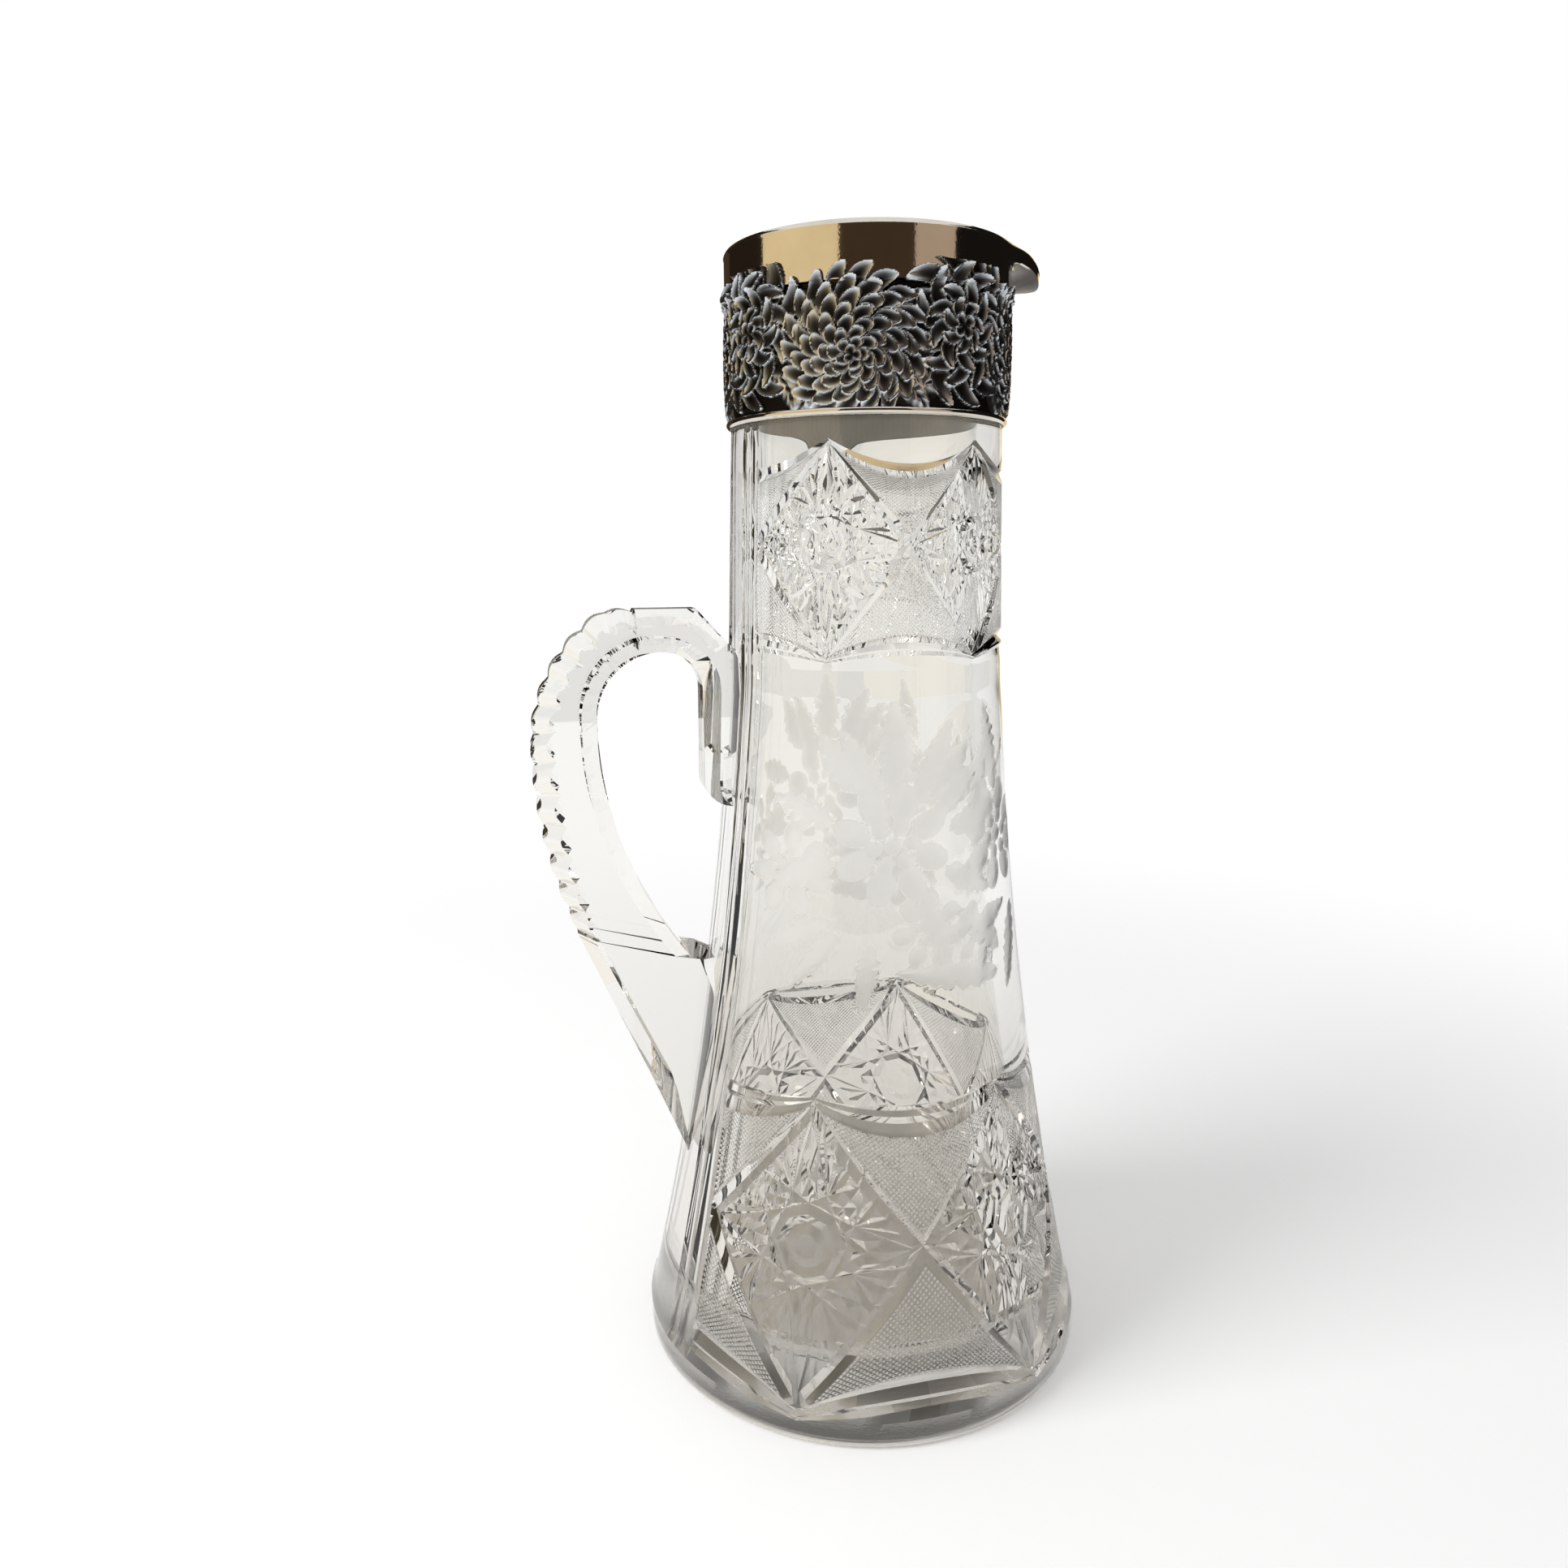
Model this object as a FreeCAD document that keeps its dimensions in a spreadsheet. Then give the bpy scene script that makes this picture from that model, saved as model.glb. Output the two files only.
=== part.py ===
import FreeCAD, Part
import math
import os

import Sketcher
from FreeCAD import Rotation, Vector

# Silver-mounted cut-glass claret jug. The jug stands on the XY plane, its axis is Z,
# the pouring lip points along +X and the handle along -X.

# Driving dimensions, in millimetres, turns in degrees
SIZES = {
    # Whole jug
    "total_height": 300.0,
    "overrun": 2.0,
    # Glass body, outside
    "foot_radius": 63.5,
    "foot_height": 9.5,
    "foot_bevel": 1.2,
    "foot_step": 1.1,
    "flare_radius": 1150.0,
    "waist_radius": 37.4,
    "waist_height": 190.0,
    "neck_radius": 35.7,
    # Glass body, inside
    "floor_thickness": 14.0,
    "body_wall": 7.5,
    "neck_wall": 5.4,
    "cavity_corner": 9.0,
    "edge_bevel": 1.0,
    # Stars of the cut bands, as turns round the glass
    "lip_star_turn": 52.0,
    "side_star_turn": 62.5,
    "rear_star_turn": 65.5,
    "star_land": 0.12,
    # Lower band of stars
    "lower_band_start": 8.5,
    "lower_band_height": 77.5,
    "lower_mitre_width": 4.6,
    "lower_mitre_depth": 1.4,
    "lower_hub_radius": 9.8,
    "lower_star_depth": 1.2,
    "lower_high_sag": 7.4,
    "lower_low_sag": 10.3,
    "lower_border_offset": 3.0,
    "lower_border_width": 5.2,
    "lower_border_depth": 1.5,
    # Neck band of stars
    "neck_band_gap": 6.0,
    "neck_band_height": 51.2,
    "neck_mitre_width": 3.0,
    "neck_mitre_depth": 1.1,
    "neck_hub_radius": 6.2,
    "neck_star_depth": 0.9,
    "neck_high_sag": 8.5,
    "neck_low_sag": 5.2,
    "neck_border_offset": 1.6,
    "neck_border_width": 3.2,
    "neck_border_depth": 1.6,
    # Flutes behind the handle
    "flutes_each_side": 2.0,
    "flute_turn": 6.0,
    "flute_depth": 0.8,
    # Glass handle
    "handle_reach": 53.8,
    "handle_rise": 21.0,
    "handle_drop": 169.0,
    "handle_width": 18.0,
    "handle_bevel": 4.5,
    "handle_leg": 17.5,
    "handle_bridge": 11.2,
    "handle_pad": 8.3,
    "handle_root": 12.0,
    "pad_drop": 52.4,
    "pad_nose": 6.5,
    "crook_width": 9.7,
    "crook_height": 11.2,
    "shoulder_width": 20.2,
    "shoulder_drop": 36.1,
    "back_length": 50.0,
    "back_lean": 10.2,
    "gap_drop": 94.6,
    "gap_sill": 13.6,
    "notch_count": 13.0,
    "notch_radius": 6.5,
    "notch_depth": 1.2,
    # Silver mount
    "silver_gauge": 0.9,
    "collar_height": 43.0,
    "plaster_gauge": 1.0,
    "rim_height": 13.0,
    "rim_step": 0.9,
    "rim_step_height": 3.0,
    "rim_fill": 8.0,
    "lining_depth": 28.0,
    "lining_clearance": 0.15,
    "wire_height": 2.0,
    "wire_bulge": 0.8,
    # Chased flowers and leaves on the collar
    "head_pairs": 4.0,
    "head_turn": 68.5,
    "head_rise": 1.4,
    "head_sink": 3.2,
    "large_head_radius": 13.0,
    "large_head_margin": 14.0,
    "large_head_petals": 11.0,
    "small_head_radius": 10.5,
    "small_head_margin": 11.0,
    "small_head_petals": 9.0,
    "petal_width": 5.0,
    "petal_rise": 0.9,
    "leaf_length": 13.0,
    "leaf_width": 7.0,
    "leaf_rise": 1.2,
    "blade_sink": 0.5,
    # Pouring lip
    "lip_reach": 10.0,
    "lip_half_width": 12.5,
    "lip_floor_half_width": 6.0,
    "lip_depth": 5.0,
    "lip_tip_half_width": 2.2,
    "lip_tip_floor_half_width": 1.3,
    "lip_tip_drop": 3.0,
}

# Front corner at the top of the finger gap, as a share of the gap's width
GAP_FRONT_CORNER_SHARE = 0.37
# Sides of the handle's outline that carry the notches
SHOULDER_SIDE = 3
BACK_SIDE = 4
# Height of the diamonds' side corners, as a share of their band's height
CROSSING_SHARES = {"lower": 0.535, "neck": 0.53}
# Part of a border's offset that is left where a star's point meets it
BORDER_PINCH_SHARE = 0.3
# Plateau of a star's hub, as a share of the hub
HUB_PLATEAU_SHARE = 0.84
# Sides of a star's hub
HUB_SIDES = 8
# Start and end of a flower's two rings of petals, as shares of the flower's radius
PETAL_RING_SHARES = ((0.1, 0.56), (0.5, 1.0))
# Place along a petal or a leaf at which it is widest, as a share of its length
WIDEST_SHARE = 0.6
# Leaves beside each large flower: turn as a share of the flowers' pitch, height as a share of
# the band's, and lean in degrees
LEAF_SHARES = ((-0.16, 0.5, 238), (0.15, 0.46, 318), (0.62, 0.52, 300))

doc = FreeCAD.newDocument("claret_jug")
sheet = doc.addObject("Spreadsheet::Sheet", "sizes")
for row, (alias, amount) in enumerate(SIZES.items(), start=1):
    sheet.set(f"A{row}", alias.replace("_", " "))
    sheet.set(f"B{row}", str(amount))
    sheet.setAlias(f"B{row}", alias)
doc.recompute()


def size(alias):
    """Number that the sheet holds under an alias."""
    return float(sheet.get(alias))


def worth(expression):
    """Number that a sheet expression comes to."""
    return float(sheet.evalExpression(expression))


# Places that several pieces share, written once as sheet expressions
COLLAR_FOOT = "(sizes.total_height - sizes.collar_height)"
RIM_FOOT = "(sizes.total_height - sizes.rim_height)"
PLATE_FOOT = "(sizes.total_height - sizes.silver_gauge)"
GLASS_TOP = "(sizes.total_height - sizes.silver_gauge - sizes.rim_fill)"
BAND_OUTER = "(sizes.neck_radius + sizes.silver_gauge / 2)"
BAND_INNER = f"({BAND_OUTER} - sizes.silver_gauge)"
SEAT_RADIUS = f"({BAND_INNER} - sizes.plaster_gauge)"
BORE_RADIUS = f"({SEAT_RADIUS} - sizes.neck_wall)"
RIM_OUTER = f"({BAND_OUTER} + sizes.rim_step)"
RIM_INNER = f"({RIM_OUTER} - sizes.silver_gauge)"
LINING_OUTER = f"({BORE_RADIUS} - sizes.lining_clearance)"
LINING_INNER = f"({LINING_OUTER} - sizes.silver_gauge)"
FLARE_FOOT_RADIUS = "(sizes.foot_radius - sizes.foot_step)"
FLARE_FOOT_HEIGHT = "(sizes.foot_height + sizes.foot_step)"
HANDLE_TOP = "(sizes.waist_height + sizes.handle_rise)"


# Sketch helpers; an arc bulges to the left or the right of the way round its outline
LEFT = 1
RIGHT = -1


def new_sketch(body, name, role):
    """Sketch on one of a body's own origin planes."""
    sketch = body.newObject("Sketcher::SketchObject", name)
    plane = next(item for item in body.Origin.OriginFeatures if item.Role == role)
    sketch.AttachmentSupport = [(plane, "")]
    sketch.MapMode = "FlatFace"
    return sketch


def bind(sketch, constraint, expression):
    """Add a dimension to a sketch and tie it to the sheet."""
    index = sketch.addConstraint(constraint)
    sketch.setExpression(f"Constraints[{index}]", expression)


def pin_corner(sketch, curve, end, corner):
    """Hold one end of a curve at a corner given as two sheet expressions."""
    for kind, axis, expression in (("DistanceX", -2, corner[0]), ("DistanceY", -1, corner[1])):
        amount = worth(expression)
        if amount == 0:
            sketch.addConstraint(Sketcher.Constraint("PointOnObject", curve, end, axis))
        elif amount > 0:
            bind(sketch, Sketcher.Constraint(kind, -1, 1, curve, end, amount), expression)
        else:
            bind(sketch, Sketcher.Constraint(kind, curve, end, -1, 1, -amount), f"-({expression})")


def arc_between(start, finish, radius, side):
    """Arc of the given radius from start to finish, bulging to one side of the way."""
    chord = finish - start
    half = chord.Length / 2
    left = Vector(-chord.y, chord.x, 0).normalize()
    bulge = radius - math.sqrt(radius ** 2 - half ** 2)
    return Part.Arc(start, start + chord / 2 + left * bulge * side, finish)


def draw_outline(sketch, corners, arcs=None):
    """Closed outline through corners; arcs maps a corner's index to (radius expression, side)."""
    arcs = arcs or {}
    points = [Vector(worth(across), worth(up), 0) for across, up in corners]
    ends = []
    for index, start in enumerate(points):
        finish = points[(index + 1) % len(points)]
        if index in arcs:
            radius, side = arcs[index]
            curve = sketch.addGeometry(arc_between(start, finish, worth(radius), side), False)
        else:
            curve = sketch.addGeometry(Part.LineSegment(start, finish), False)
        first = sketch.getPoint(curve, 1)
        forward = first.distanceToPoint(start) < first.distanceToPoint(finish)
        ends.append((1, 2) if forward else (2, 1))
    for index in range(len(points)):
        following = (index + 1) % len(points)
        join = Sketcher.Constraint("Coincident", index, ends[index][1], following, ends[following][0])
        sketch.addConstraint(join)
    for index, corner in enumerate(corners):
        pin_corner(sketch, index, ends[index][0], corner)
    for index, (radius, side) in arcs.items():
        bind(sketch, Sketcher.Constraint("Radius", index, worth(radius)), radius)


def turned(name, corners, arcs=None):
    """Body turned about Z from an outline of radius and height."""
    body = doc.addObject("PartDesign::Body", name)
    sketch = new_sketch(body, f"{name}_outline", "XZ_Plane")
    draw_outline(sketch, corners, arcs)
    turn = body.newObject("PartDesign::Revolution", f"{name}_turn")
    turn.Profile = sketch
    turn.ReferenceAxis = (sketch, ["V_Axis"])
    turn.Angle = 360
    doc.recompute()
    return body


def cut(name, base, tool):
    """Base with the tool's shape taken out of it."""
    result = doc.addObject("Part::Cut", name)
    result.Base = base
    result.Tool = tool
    doc.recompute()
    return result


# Glass body: foot band, one long concave flare, straight neck, ground seat under the collar
OUTSIDE_CORNERS = [
    ("0", "0"),
    ("sizes.foot_radius - sizes.foot_bevel", "0"),
    ("sizes.foot_radius", "sizes.foot_bevel"),
    ("sizes.foot_radius", "sizes.foot_height"),
    (FLARE_FOOT_RADIUS, FLARE_FOOT_HEIGHT),
    ("sizes.waist_radius", "sizes.waist_height"),
    ("sizes.neck_radius", COLLAR_FOOT),
]
OUTSIDE_ARCS = {4: ("sizes.flare_radius", LEFT)}


def glass_blank():
    """Turned glass with its cavity, before any cutting."""
    inside = [
        (SEAT_RADIUS, COLLAR_FOOT),
        (SEAT_RADIUS, f"{GLASS_TOP} - sizes.edge_bevel"),
        (f"{SEAT_RADIUS} - sizes.edge_bevel", GLASS_TOP),
        (BORE_RADIUS, GLASS_TOP),
        ("sizes.waist_radius - sizes.body_wall", "sizes.waist_height"),
        (f"{FLARE_FOOT_RADIUS} - sizes.body_wall", "sizes.floor_thickness + sizes.cavity_corner"),
        (f"{FLARE_FOOT_RADIUS} - sizes.body_wall - sizes.cavity_corner", "sizes.floor_thickness"),
        ("0", "sizes.floor_thickness"),
    ]
    wall_arc = ("sizes.flare_radius + sizes.body_wall", RIGHT)
    corner_arc = ("sizes.cavity_corner", LEFT)
    arcs = dict(OUTSIDE_ARCS)
    arcs[len(OUTSIDE_CORNERS) + 4] = wall_arc
    arcs[len(OUTSIDE_CORNERS) + 5] = corner_arc
    return turned("glass_blank", OUTSIDE_CORNERS + inside, arcs)


def outside_radius(height):
    """Radius of the uncut glass at a height: the flare's arc, then the neck's straight taper."""
    foot = Vector(worth(FLARE_FOOT_RADIUS), worth(FLARE_FOOT_HEIGHT), 0)
    waist = Vector(size("waist_radius"), size("waist_height"), 0)
    if height >= waist.y:
        share = (height - waist.y) / (worth(COLLAR_FOOT) - waist.y)
        return waist.x + (size("neck_radius") - waist.x) * share
    if height <= foot.y:
        return size("foot_radius")
    chord = waist - foot
    outward = Vector(chord.y, -chord.x, 0).normalize()
    reach = math.sqrt(size("flare_radius") ** 2 - (chord.Length / 2) ** 2)
    centre = foot + chord / 2 + outward * reach
    return centre.x - math.sqrt(size("flare_radius") ** 2 - (height - centre.y) ** 2)


def on_glass(turn, height, depth=0):
    """Point at a turn in degrees, a height, and a depth below the uncut glass."""
    radius = outside_radius(height) - depth
    angle = math.radians(turn)
    return Vector(radius * math.cos(angle), radius * math.sin(angle), height)


def mitre(places, width, depth):
    """Three-sided cut swept along the arc through three places on the glass."""
    start, middle, finish = [on_glass(turn, height) for turn, height in places]
    path = Part.Arc(start, middle, finish).toShape()
    along = path.tangentAt(path.FirstParameter)
    radial = Vector(start.x, start.y, 0).normalize()
    outward = (radial - along * radial.dot(along)).normalize()
    across = along.cross(outward)
    spread = width / 2 * (1 + size("overrun") / depth)
    rise = start + outward * size("overrun")
    corners = [start - outward * depth, rise + across * spread, rise - across * spread]
    section = Part.makePolygon(corners + corners[:1])
    return Part.Wire([path]).makePipeShell([section], True, True)


def faceted_solid(triangles):
    """Solid closed by flat three-sided facets."""
    faces = [Part.Face(Part.makePolygon(list(corners) + [corners[0]])) for corners in triangles]
    shell = Part.makeShell(faces)
    shell.sewShape()
    solid = Part.makeSolid(shell)
    if solid.Volume < 0:
        solid.reverse()
    return solid


def peaked(ring, peak):
    """Facets that rise from a ring of points to one peak."""
    return [(ring[index - 1], ring[index], peak) for index in range(len(ring))]


def slope(ring, other):
    """Facets between two rings of as many points."""
    facets = []
    for index in range(len(ring)):
        facets.append((ring[index - 1], ring[index], other[index]))
        facets.append((ring[index - 1], other[index], other[index - 1]))
    return facets


def star_cut(band, centre, half_turn, low, crossing, high):
    """Cutter of one star: the mitre round its diamond, eight kites, their tips and the hub.

    The star is drawn flat, across and up from its centre, and laid on the glass. Eight straight
    cuts touch the hub, and what is left between them rises to a peak of its own.
    """
    scale = math.radians(1) * outside_radius(crossing)
    land = size("star_land")

    def laid(point, depth):
        """Flat point laid on the glass, at a depth."""
        return on_glass(centre + point.x / scale, crossing + point.y, depth)

    def ring(points, depth):
        """Flat points laid on the glass, all at one depth."""
        return [laid(point, depth) for point in points]

    def raised(corners, deep_corners):
        """Facets from a cell's corners to its middle, which is hardly cut."""
        middle = sum(corners, Vector()) / len(corners)
        return peaked(deep_corners, laid(middle, land))

    top, foot = Vector(0, high - crossing, 0), Vector(0, low - crossing, 0)
    side = Vector(half_turn * scale, 0, 0)
    diamond = []
    for start, finish in ((top, side), (side, foot), (foot, -side), (-side, top)):
        diamond += [start, (start + finish) / 2]
    inner = min(side.x * edge.Length / math.hypot(side.x, edge.Length) for edge in (top, foot))
    half_mitre = size(f"{band}_mitre_width") / 2
    depth = size(f"{band}_mitre_depth")
    spread = half_mitre * (1 + size("overrun") / depth)
    ways = [Vector(point).normalize() for point in diamond]
    hub = size(f"{band}_hub_radius")
    hub_flat = [way * (hub / math.cos(math.pi / HUB_SIDES)) for way in ways]
    tips_flat = []
    for index, way in enumerate(ways):
        between = (ways[index - 1] + way).normalize()
        tips_flat.append(between * (hub / math.cos(2 * math.pi / HUB_SIDES)))
    field_flat = [point * (1 - half_mitre / inner) for point in diamond]
    deep = size(f"{band}_star_depth")
    rim = ring([point * (1 + spread / inner) for point in diamond], -size("overrun"))
    line = ring(diamond, depth)
    field = ring(field_flat, land)
    hub_ring = ring(hub_flat, deep)
    tips = ring(tips_flat, deep)
    plateau = ring([point * HUB_PLATEAU_SHARE for point in hub_flat], land)
    apex = outside_radius(crossing) / math.cos(math.radians(half_turn)) + spread
    facets = peaked(rim, on_glass(centre, crossing, outside_radius(crossing) - apex))
    facets += slope(rim, line) + slope(line, field)
    facets += slope(hub_ring, plateau) + peaked(plateau, laid(Vector(), land))
    for index in range(HUB_SIDES):
        after = (index + 1) % HUB_SIDES
        facets += raised(
            [hub_flat[index], tips_flat[index], field_flat[index], tips_flat[after]],
            [hub_ring[index], tips[index], field[index], tips[after]])
        facets += raised(
            [hub_flat[index - 1], tips_flat[index], hub_flat[index]],
            [hub_ring[index - 1], tips[index], hub_ring[index]])
        facets += raised(
            [tips_flat[index], field_flat[index - 1], field_flat[index]],
            [tips[index], field[index - 1], field[index]])
    return faceted_solid(facets)


def star_turns():
    """Middle and half width of each star, from the handle's side round by the lip, in degrees."""
    turns = []
    start = -(size("lip_star_turn") / 2 + size("side_star_turn") + size("rear_star_turn"))
    for name in ("rear", "side", "lip", "side", "rear"):
        width = size(f"{name}_star_turn")
        turns.append((start + width / 2, width / 2))
        start += width
    return turns


def border_cuts(band, edge, sag, outwards):
    """Scalloped border along one edge of a band, in turn, open at the panel behind the handle."""
    offset = size(f"{band}_border_offset") * outwards
    point_height = edge + offset * BORDER_PINCH_SHARE
    dip = edge - sag * outwards + offset - point_height
    turns = star_turns()
    runs = []
    for (first, half), following in zip(turns, turns[1:]):
        runs.append([(first, point_height), (first + half, point_height + dip),
                     (following[0], point_height)])
    quarter = point_height + dip * 3 / 4
    for (middle, half), way in ((turns[0], -1), (turns[-1], 1)):
        run = [(middle, point_height), (middle + way * half / 2, quarter),
               (middle + way * half, point_height + dip)]
        runs.insert(0 if way < 0 else len(runs), run)
    width, depth = size(f"{band}_border_width"), size(f"{band}_border_depth")
    return [mitre(run, width, depth) for run in runs]


def flute_cuts(foot):
    """Round flutes up the glass on both sides of the handle, from a height to the collar."""
    middle, half = star_turns()[-1]
    depth = size("flute_depth")
    waist = size("waist_height")
    half_width = outside_radius(waist) * math.radians(size("flute_turn") / 2)
    radius = (half_width ** 2 + depth ** 2) / (2 * depth)
    heights = [foot, (2 * foot + waist) / 3, (foot + 2 * waist) / 3, waist]
    heights.append(worth(COLLAR_FOOT) + size("overrun"))
    cuts = []
    for index in range(round(size("flutes_each_side"))):
        turn = middle + half + size("flute_turn") * (index + 1 / 2)
        for way in (turn, -turn):
            curve = Part.BSplineCurve()
            curve.interpolate([on_glass(way, height, depth - radius) for height in heights])
            path = curve.toShape()
            start = path.tangentAt(path.FirstParameter)
            circle = Part.Circle(path.valueAt(path.FirstParameter), start, radius).toShape()
            cuts.append(Part.Wire([path]).makePipeShell([Part.Wire([circle])], True, True))
    return cuts


def glass_body():
    """Glass blank cut in turn with stars, scalloped borders and flutes; neighbours are cut apart."""
    low = size("lower_band_start")
    high = worth(COLLAR_FOOT) - size("neck_band_gap")
    edges = {
        "lower": (low, low + size("lower_band_height")),
        "neck": (high - size("neck_band_height"), high),
    }
    rows = []
    for band, (foot, top) in edges.items():
        crossing = foot + (top - foot) * CROSSING_SHARES[band]
        rows.append([star_cut(band, middle, half, foot, crossing, top) for middle, half in star_turns()])
    for band, (foot, top) in edges.items():
        rows.append(border_cuts(band, top, size(f"{band}_high_sag"), 1))
        rows.append(border_cuts(band, foot, size(f"{band}_low_sag"), -1))
    rows.append(flute_cuts(worth(FLARE_FOOT_HEIGHT)))
    shape = glass_blank().Shape
    for row in rows:
        shape = shape.cut(row[0::2])
        shape = shape.cut(row[1::2])
    body = doc.addObject("Part::Feature", "glass_body")
    body.Shape = shape
    return body


# Glass handle: flat-sided, bevelled all round, notched along its back
def tangent_radius(along, off):
    """Radius of an arc that leaves a line, runs a distance along it and ends a distance off it."""
    return f"(({along}) ^ 2 + ({off}) ^ 2) / (2 * ({off}))"


def handle_blank():
    """Padded side outline of the handle, bevelled, with its roots sunk in the glass."""
    root = "-(sizes.waist_radius - sizes.handle_root)"
    pad = "(sizes.waist_radius + sizes.handle_pad)"
    back = "(sizes.waist_radius + sizes.handle_reach)"
    leg = f"({back} - sizes.handle_leg)"
    gap_width = f"({leg} - {pad})"
    front_corner = f"({gap_width} * {GAP_FRONT_CORNER_SHARE})"
    back_corner = f"({gap_width} - {front_corner})"
    gap_top = f"({HANDLE_TOP} - sizes.handle_bridge)"
    gap_foot = f"({HANDLE_TOP} - sizes.gap_drop)"
    sill = "(sizes.waist_radius + sizes.gap_sill)"
    pad_foot = f"({HANDLE_TOP} - sizes.pad_drop)"
    tail_foot = f"({HANDLE_TOP} - sizes.handle_drop)"
    back_spread = "(sizes.back_length ^ 2 - sizes.back_lean ^ 2)"
    tail_slope = f"(2 * sizes.back_lean * sizes.back_length / {back_spread})"
    tail_run = "(sizes.handle_drop - sizes.shoulder_drop - sizes.back_length)"
    corners = [
        (root, f"{HANDLE_TOP} - sizes.crook_height"),
        ("-sizes.waist_radius", f"{HANDLE_TOP} - sizes.crook_height"),
        ("-(sizes.waist_radius + sizes.crook_width)", HANDLE_TOP),
        (f"-({back} - sizes.shoulder_width)", HANDLE_TOP),
        (f"-{back}", f"{HANDLE_TOP} - sizes.shoulder_drop"),
        (f"-({back} - sizes.back_lean)", f"{HANDLE_TOP} - sizes.shoulder_drop - sizes.back_length"),
        (f"-({back} - sizes.back_lean - {tail_run} * {tail_slope})", tail_foot),
        (root, tail_foot),
        (root, gap_foot),
        (f"-{sill}", gap_foot),
        (f"-{leg}", f"{gap_top} - {back_corner}"),
        (f"-({pad} + {front_corner})", gap_top),
        (f"-{pad}", f"{gap_top} - {front_corner}"),
        (f"-{pad}", f"{pad_foot} + sizes.pad_nose"),
        (f"-({pad} - sizes.pad_nose)", pad_foot),
        (root, pad_foot),
    ]
    arcs = {
        SHOULDER_SIDE: (tangent_radius("sizes.shoulder_drop", "sizes.shoulder_width"), RIGHT),
        BACK_SIDE: (tangent_radius("sizes.back_length", "sizes.back_lean"), RIGHT),
        9: (tangent_radius(f"{gap_top} - {back_corner} - {gap_foot}", f"{leg} - {sill}"), LEFT),
        10: (back_corner, LEFT),
        11: (front_corner, LEFT),
        13: ("sizes.pad_nose", RIGHT),
    }
    body = doc.addObject("PartDesign::Body", "handle_blank")
    sketch = new_sketch(body, "handle_outline", "XZ_Plane")
    draw_outline(sketch, corners, arcs)
    pad_feature = body.newObject("PartDesign::Pad", "handle_pad_out")
    pad_feature.Profile = sketch
    pad_feature.Midplane = True
    pad_feature.setExpression("Length", "sizes.handle_width")
    doc.recompute()
    rims = []
    for number, edge in enumerate(pad_feature.Shape.Edges, start=1):
        crosses = edge.BoundBox.YLength > size("handle_bevel")
        nearest = min(-vertex.X for vertex in edge.Vertexes)
        if not crosses and nearest > size("waist_radius") + size("edge_bevel"):
            rims.append(f"Edge{number}")
    bevel = body.newObject("PartDesign::Chamfer", "handle_bevels")
    bevel.Base = (pad_feature, rims)
    bevel.setExpression("Size", "sizes.handle_bevel")
    doc.recompute()
    return body, sketch


def handle_notches(sketch):
    """Round cross cuts, evenly spaced along the shoulder and the back of the handle."""
    shoulder = sketch.Geometry[SHOULDER_SIDE].toShape()
    back = sketch.Geometry[BACK_SIDE].toShape()
    path = Part.Wire(Part.sortEdges([shoulder, back])[0])
    count = round(size("notch_count"))
    places = path.discretize(Number=2 * count + 1)
    stand_off = size("notch_radius") - size("notch_depth")
    cuts = []
    for index in range(1, len(places), 2):
        along = (places[index + 1] - places[index - 1]).normalize()
        outward = Vector(along.y, -along.x, 0)
        if outward.x > 0:
            outward = -outward
        centre = places[index] + outward * stand_off
        cutter = doc.addObject("Part::Cylinder", f"notch_{index // 2 + 1}")
        cutter.setExpression("Radius", "sizes.notch_radius")
        cutter.setExpression("Height", "sizes.handle_width + 2 * sizes.overrun")
        half = size("handle_width") / 2 + size("overrun")
        cutter.Placement.Base = Vector(centre.x, half, centre.y)
        cutter.Placement.Rotation = Rotation(Vector(1, 0, 0), 90)
        cuts.append(cutter)
    notches = doc.addObject("Part::MultiFuse", "handle_notches")
    notches.Shapes = cuts
    doc.recompute()
    return notches


def glass_handle():
    """Notched handle, seated on the outside of the glass."""
    blank, sketch = handle_blank()
    notched = cut("notched_handle", blank, handle_notches(sketch))
    envelope = turned("glass_envelope", OUTSIDE_CORNERS + [("0", COLLAR_FOOT)], OUTSIDE_ARCS)
    return cut("glass_handle", notched, envelope)


# Silver mount
def lip_outline(half_width, floor_half_width, top, depth, gauge=None):
    """Corners of a trough's end, across and up; solid where no gauge is given."""
    floor = f"({top} - {depth})"
    outer = [(f"-{half_width}", top), (f"-{floor_half_width}", floor)]
    outer += [(floor_half_width, floor), (half_width, top)]
    if gauge is None:
        return outer
    inner = [(f"{half_width} - {gauge}", top), (f"{floor_half_width} - {gauge} / 2", f"{floor} + {gauge}")]
    inner += [(f"-({across})", up) for across, up in reversed(inner)]
    return outer + inner


def offset_sketch(body, name, along, corners):
    """Outline on a plane square to X, at a distance along X."""
    sketch = new_sketch(body, name, "YZ_Plane")
    sketch.setExpression("AttachmentOffset.Base.z", along)
    draw_outline(sketch, corners)
    return sketch


ROOT_SIZES = ("sizes.lip_half_width", "sizes.lip_floor_half_width", "sizes.total_height", "sizes.lip_depth")


def lip_notch():
    """Space that the lip's trough takes out of the rings of the mouth."""
    body = doc.addObject("PartDesign::Body", "lip_notch")
    half_width, floor_half_width, top, depth = ROOT_SIZES
    corners = lip_outline(half_width, floor_half_width, top, depth)
    raised = f"{top} + sizes.overrun"
    corners += [(half_width, raised), (f"-{half_width}", raised)]
    sketch = offset_sketch(body, "lip_notch_end", "0", corners)
    run = body.newObject("PartDesign::Pad", "lip_notch_run")
    run.Profile = sketch
    run.setExpression("Length", f"{RIM_OUTER} + sizes.lip_reach")
    doc.recompute()
    return body


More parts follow.
